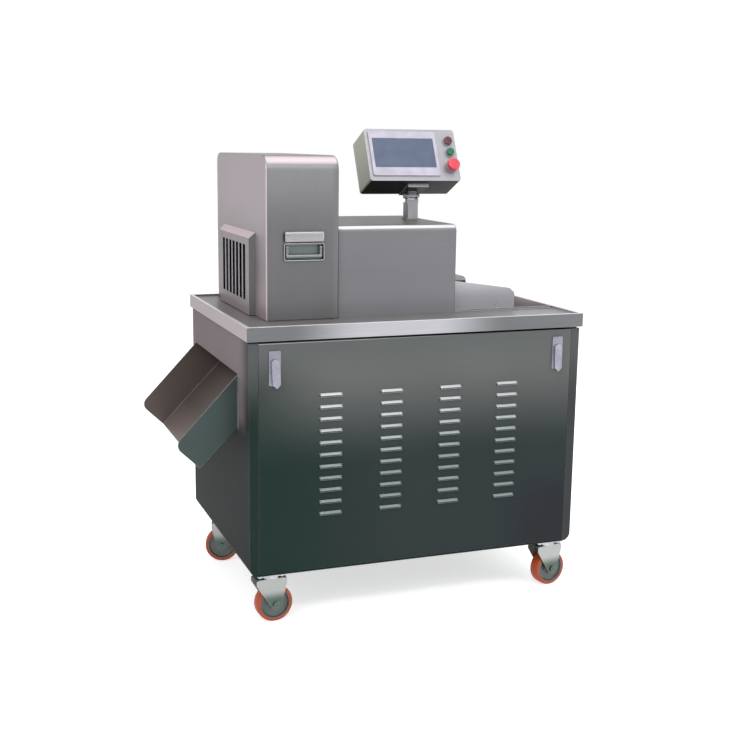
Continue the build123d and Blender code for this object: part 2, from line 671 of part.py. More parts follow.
# Knife head: the upright plate, the bearing housing through it, and the meat channel
head_front = drop_front + 22.0
head_back = knife_y + 105.0
head_top = table_height + 232.0
head_points = [
    (head_front, surface), (head_back, surface), (head_back, surface + 60), (knife_y + 60, head_top - 30),
    (knife_y + 30, head_top), (head_front + 60, head_top), (head_front, head_top - 60),
]
head_x1 = head_plate_x + head_plate_thick
head_plate = prism_x(head_points, head_plate_x, head_x1)
head_plate -= slab(head_plate_x - 1, head_x1 + 1, channel_front - channel_wall, channel_back + channel_wall,
                   channel_base - channel_wall, channel_top + channel_wall)
head_plate -= rod_x(head_plate_x - 1, head_x1 + 1, knife_y, axis_z, housing_radius)
save("knife_head_plate", head_plate)
housing_x0, housing_x1 = knife_x + knife_thick + 48.0, head_x1 + 100.0
housing = rod_x(housing_x0, housing_x1, knife_y, axis_z, housing_radius)
housing += rod_x(head_x1, head_x1 + 10, knife_y, axis_z, housing_radius + 12)
housing -= rod_x(housing_x0 - 1, housing_x1 + 1, knife_y, axis_z, shaft_radius + 3)
bearing_width = 15.0
for x0 in (housing_x0 - 1, housing_x1 - bearing_width):
    housing -= rod_x(x0, x0 + bearing_width + 1, knife_y, axis_z, bearing_radius)
bearings = []
for x0 in (housing_x0, housing_x1 - bearing_width):
    race = rod_x(x0, x0 + bearing_width, knife_y, axis_z, bearing_radius)
    bearings.append(race - rod_x(x0 - 1, x0 + bearing_width + 1, knife_y, axis_z, shaft_radius + running))
save("bearing_housing", housing, *bearings)
channel_x0 = knife_x + knife_thick + knife_gap
channel_x1 = head_x1 + 2.0
channel = slab(channel_x0, channel_x1, channel_front - channel_wall, channel_back + channel_wall,
               channel_base - channel_wall, channel_top + channel_wall)
channel -= slab(channel_x0 - 1, channel_x1 + 1, channel_front, channel_back, channel_base, channel_top)
finger_x1 = roll_x - collar_radius - 2.0
for n in range(disc_count + 1):
    y = channel_front + 10 + (n - 0.5) * disc_pitch
    y0, y1 = max(y - 4, channel_front), min(y + 4, channel_back)
    channel += slab(channel_x1, finger_x1, y0 + 1, y1, channel_base - channel_wall, channel_base)
    channel += slab(channel_x1, finger_x1, y0 + 1, y1, channel_top, channel_top + channel_wall)
save("meat_channel", channel)

# Rotating knife: shaft with its hub, two swept blades and the belt pulley
pulley_x0 = housing_x1 + 18.0
pulley_width = 30.0
pulley_radius = 34.0
shaft = rod_x(knife_x - 14, pulley_x0 + pulley_width + 4, knife_y, axis_z, shaft_radius)
shaft += rod_x(knife_x + knife_thick, knife_x + knife_thick + 26, knife_y, axis_z, hub_radius)


def polar(radius, degrees):
    """A point on the knife's own plane."""
    return (radius * math.cos(math.radians(degrees)), radius * math.sin(math.radians(degrees)))


blade_face = Circle(hub_radius + 4)
for turn in (0, 180):
    edge = ThreePointArc(polar(hub_radius, turn - 20), polar(128, turn + 22), polar(knife_radius, turn + 70))
    tip = ThreePointArc(edge @ 1, polar(knife_radius, turn + 84), polar(knife_radius, turn + 98))
    back = ThreePointArc(tip @ 1, polar(120, turn + 82), polar(hub_radius, turn + 75))
    blade_face += make_face(edge + tip + back + Line(back @ 1, edge @ 0))
blade_face -= Circle(shaft_radius)
blade = extrude(Plane.YZ.offset(knife_x) * Pos(knife_y, axis_z) * blade_face, amount=knife_thick)
save("cutoff_knife", blade)
cap = rod_x(knife_x - 12, knife_x, knife_y, axis_z, 26.0) - rod_x(knife_x - 13, knife_x, knife_y, axis_z, shaft_radius)
save("knife_shaft", shaft, cap)
pulley = rod_x(pulley_x0, pulley_x0 + pulley_width, knife_y, axis_z, pulley_radius)
pulley -= rod_x(pulley_x0 - 1, pulley_x0 + pulley_width + 1, knife_y, axis_z, shaft_radius)
save("knife_pulley", pulley)

# Knife motor behind the feed belt, with its pulley and the drive belt
motor_radius, motor_gap = 62.0, 18.0
motor_y, motor_z = feed_cover_back - motor_radius - motor_gap, table_height + 75.0
motor_x0, motor_x1 = pulley_x0 + pulley_width + 16.0, feed_cover_right - 22.0
motor_pulley_radius = 28.0
motor_bore = 9.0
motor = rod_x(motor_x0, motor_x1, motor_y, motor_z, motor_radius)
motor += rod_x(motor_x0 - 8, motor_x0, motor_y, motor_z, motor_radius - 12)
motor += slab(motor_x0 + 20, motor_x1 - 30, motor_y - 60, motor_y + 60, surface, motor_z - 40)
motor -= rod_x(motor_x0 - 9, motor_x0 + 30, motor_y, motor_z, motor_bore + running)
save("knife_motor", motor)
motor_pulley = rod_x(pulley_x0, pulley_x0 + pulley_width, motor_y, motor_z, motor_pulley_radius)
motor_pulley += rod_x(pulley_x0 + pulley_width, motor_x0 + 28, motor_y, motor_z, motor_bore)
save("motor_pulley", motor_pulley)


def belt_loop(a, radius_a, b, radius_b, thick):
    """The outline of a belt round two pulleys, with a small gap to each: outer face less inner face."""
    (ay, az), (by, bz) = a, b
    faces = []
    for extra in (belt_slack + thick, belt_slack):
        ra, rb = radius_a + extra, radius_b + extra
        gap = math.hypot(by - ay, bz - az)
        heading = math.atan2(bz - az, by - ay)
        lean = math.acos((ra - rb) / gap)
        points = [
            (ay + ra * math.cos(heading + lean), az + ra * math.sin(heading + lean)),
            (by + rb * math.cos(heading + lean), bz + rb * math.sin(heading + lean)),
            (by + rb * math.cos(heading - lean), bz + rb * math.sin(heading - lean)),
            (ay + ra * math.cos(heading - lean), az + ra * math.sin(heading - lean)),
        ]
        body = make_face(Polyline(*points, close=True))
        body += Pos(ay, az) * Circle(ra) + Pos(by, bz) * Circle(rb)
        faces.append(body)
    return faces[0] - faces[1]


loop = belt_loop((knife_y, axis_z), pulley_radius, (motor_y, motor_z), motor_pulley_radius, 5.0)
save("knife_belt", extrude(Plane.YZ.offset(pulley_x0 + 3) * loop, amount=pulley_width - 6))

# Feed side plates, standing in the well: they carry the slitting rolls, the belt and the hold-down rollers
plate_x0 = head_x1 + 3.5
rear_x0 = head_x1 + 14.0
hold_z = table_height + belt_level + 45.0 + hold_radius
plate_tops = ((feed_front, plate_x0, upper_z + 38, 0.0), (feed_back - plate_thick, rear_x0, upper_z + 13, 12.0))
hold_top = hold_z + 16.0
for name, (y0, x0, left_top, lower) in zip(("feed_plate_front", "feed_plate_rear"), plate_tops):
    step_x = hold_x - 34
    shoulder = feed_cover_right - 14
    outline = [
        (x0, pan_floor), (feed_end_x, pan_floor), (feed_end_x, table_height + 44 - lower),
        (feed_end_x - 16, table_height + 58 - lower), (feed_cover_right + 3, table_height + 85 - lower),
        (shoulder, hold_top), (step_x, hold_top), (step_x, left_top), (x0, left_top),
    ]
    plate = prism_y(outline, y0, y0 + plate_thick)
    for z in (lower_z, upper_z):
        plate -= rod_y(roll_x, y0 - 1, y0 + plate_thick + 1, z, journal_radius + running)
    plate -= rod_y(drive_roller_x, y0 - 1, y0 + plate_thick + 1, belt_axis_z, journal_radius + running)
    plate -= rod_y(hold_x, y0 - 1, y0 + plate_thick + 1, hold_z, 8.0 + running)
    plate -= rod_y(tail_roller_x, y0 - 1, y0 + plate_thick + 1, belt_axis_z, 8.0 + running)
    if name == "feed_plate_rear":
        plate -= slab(pulley_x0 - 4, pulley_x0 + pulley_width + 4, y0 - 1, y0 + plate_thick + 1,
                      axis_z - pulley_radius - 12, hold_top + 1)
        plate -= rod_x(x0 - 1, housing_x1 + 2, knife_y, axis_z, housing_radius + housing_clearance)
    save(name, plate)

# Slitting rolls: interleaved discs on two shafts, geared together at the front


def gear(phase):
    """A spur gear face with straight-flanked teeth."""
    pitch = gear_module * gear_teeth / 2
    face = Circle(pitch - 1.25 * gear_module)
    step = 360 / gear_teeth
    tooth = make_face(Polyline(
        polar(pitch - 1.4 * gear_module, -0.30 * step), polar(pitch + 0.68 * gear_module, -0.11 * step),
        polar(pitch + 0.68 * gear_module, 0.11 * step), polar(pitch - 1.4 * gear_module, 0.30 * step), close=True))
    return face + [Rot(0, 0, phase + n * step) * tooth for n in range(gear_teeth)]


gear_y0 = feed_front - 5.0 - gear_width
first_disc = channel_front + 10.0
disc_room = running * 6


def slitting_roll(z, shift, phase, reach_front):
    """Shaft, collar, discs and gear of one roll."""
    inside_front, inside_back = feed_front + plate_thick + 0.5, feed_back - plate_thick - 0.5
    roll = rod_y(roll_x, reach_front, feed_back + 3, z, journal_radius)
    roll += rod_y(roll_x, inside_front, inside_back, z, collar_radius)
    for n in range(disc_count):
        y = first_disc + n * disc_pitch + shift
        roll += rod_y(roll_x, y - disc_thick / 2, y + disc_thick / 2, z, disc_radius)
    wheel = Plane.XZ.offset(-gear_y0 - gear_width) * Pos(roll_x, z) * gear(phase)
    return roll + extrude(wheel, amount=gear_width)


half_tooth = 180 / gear_teeth
chain_y0 = feed_front - 26.0
sprocket_radius = 22.0
lower_roll = slitting_roll(lower_z, 0.0, 90.0, chain_y0)
lower_roll += rod_y(roll_x, chain_y0, chain_y0 + 6, lower_z, sprocket_radius)
save("slitting_roll_lower", lower_roll)
save("slitting_roll_upper", slitting_roll(upper_z, disc_offset, -90.0 + half_tooth, gear_y0 - 2))

# Feed belt with its drive roller and tail roller, and the bed plate under the top run
belt_front, belt_back = feed_front + plate_thick + 4, feed_back - plate_thick - 4
rollers = (("feed_drive_roller", drive_roller_x, journal_radius), ("feed_tail_roller", tail_roller_x, 8.0))
for name, x, journal in rollers:
    drum = rod_y(x, belt_front + 1, belt_back - 1, belt_axis_z, roller_radius)
    save(name, drum + rod_y(x, feed_front + 0.5, feed_back - 0.5, belt_axis_z, journal))
loop = belt_loop((drive_roller_x, belt_axis_z), roller_radius, (tail_roller_x, belt_axis_z), roller_radius, belt_thick)
save("feed_belt", extrude(Plane.XZ.offset(-belt_back) * loop, amount=belt_back - belt_front))
bed_top = belt_axis_z + roller_radius + belt_slack - 0.5
bed_x0, bed_x1 = drive_roller_x + roller_radius + 8, tail_roller_x - roller_radius - 8
bed = slab(bed_x0, bed_x1, feed_front + plate_thick, feed_back - plate_thick, bed_top - 4, bed_top)
save("belt_bed", bed)

# Hold-down roller over the belt
ribbed = rod_y(hold_x, feed_front + 0.5, feed_back - 0.5, hold_z, 8.0)
ribbed += rod_y(hold_x, belt_front, belt_back, hold_z, hold_radius - 4)
for n in range(9):
    y = belt_front + 5 + n * (belt_back - belt_front - 14) / 8
    ribbed += rod_y(hold_x, y, y + 4, hold_z, hold_radius)
save("hold_down_roller", ribbed)

# Feed gear motor on its stand in the cabinet, with the chain up to the lower roll
gearbox_z = table_height - 190.0
gearbox_y0 = chain_y0 + 14.0
gear_motor_radius = 50.0
gearbox = slab(roll_x - 55, roll_x + 55, gearbox_y0, gearbox_y0 + 94, gearbox_z - 55, gearbox_z + 55)
gearbox = fillet(gearbox.edges().filter_by(Axis.X), 8.0)
gear_motor = rod_x(roll_x + 55, roll_x + 245, gearbox_y0 + 47, gearbox_z, gear_motor_radius)
gearbox += gear_motor
gearbox -= rod_y(roll_x, gearbox_y0 - 1, gearbox_y0 + 60, gearbox_z, journal_radius + running)
save("feed_gear_motor", gearbox)
output = rod_y(roll_x, chain_y0, gearbox_y0 + 58, gearbox_z, journal_radius)
save("gear_motor_sprocket", output + rod_y(roll_x, chain_y0, chain_y0 + 6, gearbox_z, sprocket_radius))
loop = belt_loop((roll_x, lower_z), sprocket_radius, (roll_x, gearbox_z), sprocket_radius, 5.0)
save("drive_chain", extrude(Plane.XZ.offset(-chain_y0 - 5) * loop, amount=4.0))
stand_top = gearbox_z - 55.0
stand_x0, stand_x1 = roll_x - 62, roll_x + 262
frame.append(slab(stand_x0, stand_x1, gearbox_y0, gearbox_y0 + 110, stand_top - 6, stand_top))
frame.append(slab(roll_x + 120, roll_x + 200, gearbox_y0 + 17, gearbox_y0 + 77, stand_top, gearbox_z - 42) - gear_motor)
for x in (stand_x0, stand_x1 - 25):
    for y in (gearbox_y0, gearbox_y0 + 85):
        frame.append(tube(x, x + 25, y, y + 25, cabinet_bottom + skin, stand_top - 6, "z"))
save("chassis_frame", *frame)

# Post of the control box, on the feed cover, with its yoke and pin
pivot_rise = 19.6
lug_radius = 8.0
post_top = feed_cover_top + post_height
yoke_pin = (post_y - 8.0, post_top + pivot_rise)
post = slab(post_x - post_side / 2, post_x + post_side / 2, post_y - post_side / 2, post_y + post_side / 2,
            feed_cover_top, post_top)
post = fillet(post.edges().filter_by(Axis.Z), 4.0)
foot_side = post_side + 8.0
post += slab(post_x - foot_side / 2, post_x + foot_side / 2, post_y - foot_side / 2, post_y + foot_side / 2,
             feed_cover_top, feed_cover_top + 3)
ear_out, ear_thick, ear_radius, yoke_radius = post_side / 2, 4.0, 9.0, 4.0
for x0 in (post_x - ear_out, post_x + ear_out - ear_thick):
    post += slab(x0, x0 + ear_thick, yoke_pin[0] - ear_radius, yoke_pin[0] + ear_radius, post_top, yoke_pin[1])
    post += rod_x(x0, x0 + ear_thick, yoke_pin[0], yoke_pin[1], ear_radius)
post += slab(post_x - ear_out, post_x + ear_out, yoke_pin[0] - ear_radius, yoke_pin[0] + ear_radius,
             post_top, yoke_pin[1] - lug_radius - 2.0)
post += rod_x(post_x - ear_out - 6, post_x + ear_out + 6, yoke_pin[0], yoke_pin[1], yoke_radius)
post += rod_x(post_x - ear_out - 8, post_x - ear_out, yoke_pin[0], yoke_pin[1], 2 * yoke_radius)
save("screen_post", post)

# Control box, built flat and then leaned back on the yoke pin
lug_drop = 14.0
lug_y = 32.0


def leaned(part):
    """Move a piece of the control box from its own frame to its place on the yoke."""
    pivot = Pos(post_x, yoke_pin[0], yoke_pin[1])
    return pivot * Rot(-box_tilt, 0, 0) * Pos(box_x - post_x, -lug_y, box_height / 2 + lug_drop) * part


half_w, half_h, half_d = box_width / 2, box_height / 2, box_depth / 2
case = slab(-half_w, half_w, -half_d, half_d, -half_h, half_h)
case = fillet(case.edges().filter_by(Axis.Y), box_corner)
core = slab(-half_w + skin, half_w - skin, -half_d + skin, half_d - skin, -half_h + skin, half_h - skin)
case -= fillet(core.edges().filter_by(Axis.Y), box_corner - skin)
lug_x = post_x - box_x
lug_side = ear_out - ear_thick - 1.0
bracket_side, bracket_front, bracket_thick = 33.0, -27.0, 3.0
case += slab(lug_x - bracket_side, lug_x + bracket_side, bracket_front, lug_y + 22, -half_h - bracket_thick, -half_h)
case += slab(lug_x - bracket_side, lug_x + bracket_side, bracket_front, bracket_front + bracket_thick,
             -half_h - 10, -half_h)
eye = slab(lug_x - lug_side, lug_x + lug_side, lug_y - lug_radius, lug_y + lug_radius,
           -half_h - lug_drop, -half_h - bracket_thick)
eye += rod_x(lug_x - lug_side, lug_x + lug_side, lug_y, -half_h - lug_drop, lug_radius)
case += eye - rod_x(lug_x - lug_side - 1, lug_x + lug_side + 1, lug_y, -half_h - lug_drop, yoke_radius + running)
screen_mid = -half_w + 10 + screen_width / 2
screen_z = half_h - 9.5 - screen_height / 2
controls_x = half_w - 26.0
lamp_z, start_z, stop_z = 44.0, 7.5, -38.5
start_x = controls_x + start_shift
controls = ((controls_x, lamp_z, 5.0), (start_x, start_z, 20.0), (controls_x, stop_z, 20.0))
case -= slab(screen_mid - screen_width / 2 + 8, screen_mid + screen_width / 2 - 8, -half_d - 1, -half_d + skin + 1,
             screen_z - screen_height / 2 + 8, screen_z + screen_height / 2 - 8)
stem_radius = 11.0
for x, z, _ in controls:
    case -= rod_y(x, -half_d - 1, -half_d + skin + 1, z, stem_radius)
save("screen_box", leaned(case))
bezel_thick = 5.0
bezel = slab(screen_mid - screen_width / 2, screen_mid + screen_width / 2, -half_d - bezel_thick, -half_d,
             screen_z - screen_height / 2, screen_z + screen_height / 2)
bezel = fillet(bezel.edges().filter_by(Axis.Y), 4.0)
bezel += slab(screen_mid - screen_width / 2 + 9, screen_mid + screen_width / 2 - 9, -half_d, -half_d + 34,
              screen_z - screen_height / 2 + 9, screen_z + screen_height / 2 - 9)
glass = slab(screen_mid - display_width / 2, screen_mid + display_width / 2, -half_d - bezel_thick, -half_d - 2,
             screen_z - display_height / 2 + 2, screen_z + display_height / 2 + 2)
save("screen_bezel", leaned(bezel - glass))
save("screen_glass", leaned(glass))
rings = []
ring_thick, ring_radius = 4.0, 15.0
button_radius = 10.5
for x, z, depth in controls:
    collar_ring = rod_y(x, -half_d - ring_thick, -half_d, z, ring_radius)
    collar_ring += rod_y(x, -half_d, -half_d + 26, z, stem_radius)
    rings.append(collar_ring - rod_y(x, -half_d - ring_thick - 1, -half_d + depth, z, button_radius + running * 2))
save("button_rings", *[leaned(piece) for piece in rings])
ring_face = -half_d - ring_thick
lamp = rod_y(controls_x, -half_d - lamp_proud, ring_face, lamp_z, lamp_radius)
lamp = fillet(lamp.edges().filter_by(GeomType.CIRCLE).sort_by(Axis.Y)[0], 4.0)
lamp += rod_y(controls_x, ring_face, -half_d + 5, lamp_z, button_radius)
save("pilot_lamp", leaned(lamp))
start_travel = 3.0
start = rod_y(start_x, ring_face - 9, ring_face - start_travel - 0.3, start_z, start_radius)
start = fillet(start.edges().filter_by(GeomType.CIRCLE).sort_by(Axis.Y)[0], 2.0)
start += rod_y(start_x, ring_face - start_travel - 1, -half_d + 12, start_z, button_radius)
save("start_button", leaned(start))
mushroom = rod_y(controls_x, -half_d - 28, -half_d - 14, stop_z, 19.5)
mushroom = fillet(mushroom.edges().filter_by(GeomType.CIRCLE).sort_by(Axis.Y)[0], 6.0)
mushroom += rod_y(controls_x, -half_d - 15, -half_d + 12, stop_z, button_radius)
save("stop_button", leaned(mushroom))

# Casters: a fixed top plate with the kingpin, a swivelling fork with its axle, and a wheel
plate_z = cabinet_bottom
caster_plate_thick = 4.0
fork_top = plate_z - 14.0
leg_gap = wheel_width / 2 + 3.0
leg_thick = 3.5
caster_right_x = table_length - caster_inset_x
casters = (
    ("front_left", caster_inset_x, caster_front_y, 4.0),
    ("front_right", caster_right_x, caster_front_y, 10.0),
    ("rear_left", caster_inset_x, caster_rear_y, 165.0),
    ("rear_right", caster_right_x, caster_rear_y, 190.0),
)
tops = []
for name, x, y, turn in casters:
    place = Pos(x, y, 0)
    top = slab(-40, 40, -32, 32, plate_z - caster_plate_thick, plate_z)
    top += rod_z(0, 0, fork_top + 1.0, plate_z - caster_plate_thick, 30.0)
    top += rod_z(0, 0, fork_top - 9, fork_top + 1.0, 6.0)
    top += rod_z(0, 0, fork_top - 9, fork_top - 5, 9.0)
    for bx in (-31, 31):
        for by in (-23, 23):
            top += rod_z(bx, by, plate_z - caster_plate_thick - 4, plate_z - caster_plate_thick, 5.5)
    tops.append(place * top)
    swivel = place * Rot(0, 0, turn)
    crown = slab(-44, 44, -leg_gap - leg_thick, leg_gap + leg_thick, fork_top - 4, fork_top)
    crown = fillet(crown.edges().filter_by(Axis.Z), 12.0)
    crown -= rod_z(0, 0, fork_top - 5, fork_top + 1, 6.0 + running)
    leg_points = [(-44, fork_top - 2), (44, fork_top - 2), (44, fork_top - 16), (trail + 15, wheel_radius - 6),
                  (trail + 6, wheel_radius - 15), (trail - 6, wheel_radius - 15), (trail - 15, wheel_radius - 6),
                  (-44, fork_top - 16)]
    fork = crown
    for y0 in (-leg_gap - leg_thick, leg_gap):
        fork += prism_y(leg_points, y0, y0 + leg_thick)
        head = y0 - 5 if y0 < 0 else y0 + leg_thick
        fork += rod_y(trail, head, head + 5, wheel_radius, 9.0)
    fork += rod_y(trail, -leg_gap, leg_gap, wheel_radius, axle_radius)
    save(f"caster_fork_{name}", swivel * fork)
    wheel = rod_y(trail, -wheel_width / 2, wheel_width / 2, wheel_radius, wheel_radius)
    wheel = fillet(wheel.edges().filter_by(GeomType.CIRCLE), 4.0)
    for y0 in (-wheel_width / 2 - 1, wheel_width / 2 - 5):
        wheel -= (rod_y(trail, y0, y0 + 6, wheel_radius, wheel_radius - tyre_depth)
                  - rod_y(trail, y0, y0 + 6, wheel_radius, 16.0))
    wheel -= rod_y(trail, -wheel_width, wheel_width, wheel_radius, axle_radius + running)
    save(f"caster_wheel_{name}", swivel * wheel)
save("caster_plates", *tops)
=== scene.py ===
"""Looks of a meat dicer on a wheeled, louvred stainless steel cabinet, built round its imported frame."""

from __future__ import annotations

import json
import logging
import math
from dataclasses import dataclass
from enum import Enum
from typing import Callable, Iterable, Sequence

import bmesh
import bpy
from mathutils import Matrix, Vector

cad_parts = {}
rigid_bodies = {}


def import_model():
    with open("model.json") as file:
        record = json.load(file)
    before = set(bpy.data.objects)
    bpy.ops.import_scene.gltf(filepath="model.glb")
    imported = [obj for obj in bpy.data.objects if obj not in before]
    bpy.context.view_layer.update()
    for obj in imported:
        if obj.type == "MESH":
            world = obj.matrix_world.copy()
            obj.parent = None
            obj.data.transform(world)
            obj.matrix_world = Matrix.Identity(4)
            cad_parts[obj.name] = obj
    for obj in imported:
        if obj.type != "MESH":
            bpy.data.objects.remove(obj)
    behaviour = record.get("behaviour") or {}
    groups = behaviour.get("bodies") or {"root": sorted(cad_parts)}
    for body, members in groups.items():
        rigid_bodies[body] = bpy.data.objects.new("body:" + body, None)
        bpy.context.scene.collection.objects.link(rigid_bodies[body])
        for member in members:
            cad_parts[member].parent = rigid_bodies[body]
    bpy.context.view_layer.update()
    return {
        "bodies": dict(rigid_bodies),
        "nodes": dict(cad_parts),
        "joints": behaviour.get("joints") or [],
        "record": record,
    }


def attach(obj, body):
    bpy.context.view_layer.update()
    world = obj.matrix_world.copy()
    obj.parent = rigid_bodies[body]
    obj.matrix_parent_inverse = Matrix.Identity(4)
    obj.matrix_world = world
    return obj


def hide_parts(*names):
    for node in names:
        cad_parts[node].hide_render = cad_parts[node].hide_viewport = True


log = logging.getLogger("meat_dicer")

Colour = tuple[int, int, int]
Point = tuple[float, float, float]

# One millimetre in metres
MM = 0.001
# Where the frame's origin, under the middle of the whole object, lies on the table's rulers
MIDDLE = (420.106, 360.75)
# Corners of the frame's meshes that are nearer than this, in metres, are one corner
WELD = 0.00001
# Corners of a shape under way that are nearer than this, in millimetres, are one corner
TOUCH = 0.001
# Edges sharper than this many degrees are creases, and the others are steps of a bend
CREASE = 32.0
# The same for pieces that are rounded in few steps
COARSE_CREASE = 50.0
# Colour of the painted sheen along sharp metal edges
EDGE_SHEEN = (206, 205, 208)


def at(x: float, y: float, z: float) -> Vector:
    """Turn a place on the table's own rulers into the frame's metres.

    Args:
        x: Millimetres from the table's left end.
        y: Millimetres from the table's front edge.
        z: Millimetres above the floor.

    Returns:
        The same place in metres.
    """
    return Vector(((x - MIDDLE[0]) * MM, (y - MIDDLE[1]) * MM, z * MM))


def linear(colour: Colour) -> tuple[float, float, float, float]:
    """Turn a colour as seen on a screen, 0 to 255, into the shader's linear values.

    Args:
        colour: Red, green and blue.

    Returns:
        Linear red, green, blue and an alpha of one.
    """
    channels = []
    for value in colour:
        part = value / 255
        channels.append(part / 12.92 if part <= 0.04045 else ((part + 0.055) / 1.055) ** 2.4)
    return (channels[0], channels[1], channels[2], 1.0)


class Grain(Enum):
    """Direction in which a sheet was brushed, as noise scales along X, Y and Z."""

    ALONG_X = (8.0, 1100.0, 1100.0)
    ALONG_Y = (1100.0, 8.0, 1100.0)
    ALONG_Z = (1100.0, 1100.0, 8.0)
    ROUND = (500.0, 500.0, 500.0)


class Tree:
    """Adds nodes to one node tree and joins them."""

    def __init__(self, tree: bpy.types.NodeTree) -> None:
        """Keep the tree that the nodes go into."""
        self.tree = tree

    def add(self, kind: str, sockets: dict[str, object] | None = None, **settings: object) -> bpy.types.Node:
        """Add a node.

        Args:
            kind: Blender's name for the node type.
            sockets: Input values or output sockets to join, by input name or index.
            settings: Properties set on the node.

        Returns:
            The new node.
        """
        node = self.tree.nodes.new(kind)
        for name, value in settings.items():
            setattr(node, name, value)
        for name, value in (sockets or {}).items():
            socket = node.inputs[name]
            if isinstance(value, bpy.types.NodeSocket):
                self.tree.links.new(value, socket)
            else:
                socket.default_value = value
        return node

    def link(self, value: bpy.types.NodeSocket, target: bpy.types.NodeSocket) -> None:
        """Join an output to an input."""
        self.tree.links.new(value, target)

    def speckle(self, scale: object) -> bpy.types.NodeSocket:
        """Give noise over a piece's own place.

        Args:
            scale: How fine it is, a number or a socket.

        Returns:
            The noise's socket.
        """
        place = self.add("ShaderNodeTexCoord").outputs["Object"]
        return self.add("ShaderNodeTexNoise", {"Vector": place, "Scale": scale, "Detail": 2.0}).outputs[0]

    def seen_by(self, *rays: str) -> bpy.types.NodeSocket:
        """Tell some kinds of light ray from the rest.

        Args:
            rays: The Light Path node's names for the kinds.

        Returns:
            A socket that is 1 for these rays and 0 for others.
        """
        path = self.add("ShaderNodeLightPath").outputs
        total = path[rays[0]]
        for ray in rays[1:]:
            total = self.add("ShaderNodeMath", {0: total, 1: path[ray]}, operation="MAXIMUM").outputs[0]
        return total

    def mix(self, factor: object, first: object, second: object, how: str = "MIX") -> bpy.types.NodeSocket:
        """Mix two colours.

        Args:
            factor: Share of the second colour, a number or a socket.
            first: First colour.
            second: Second colour.
            how: Blend type.

        Returns:
            The mixed colour's socket.
        """
        sockets = {"Factor": factor, 6: first, 7: second}
        return self.add("ShaderNodeMix", sockets, data_type="RGBA", blend_type=how).outputs[2]

    def remap(self, value: object, low: float, high: float, to_low: float = 0.0,
              to_high: float = 1.0) -> bpy.types.NodeSocket:
        """Spread a value over a new range, smoothly and without going past its ends.

        Args:
            value: The value's socket.
            low: Where the old range starts.
            high: Where the old range ends.
            to_low: Where the new range starts.
            to_high: Where the new range ends.

        Returns:
            The new value's socket.
        """
        sockets = {"Value": value, "From Min": low, "From Max": high, "To Min": to_low, "To Max": to_high}
        return self.add("ShaderNodeMapRange", sockets, interpolation_type="SMOOTHSTEP").outputs[0]


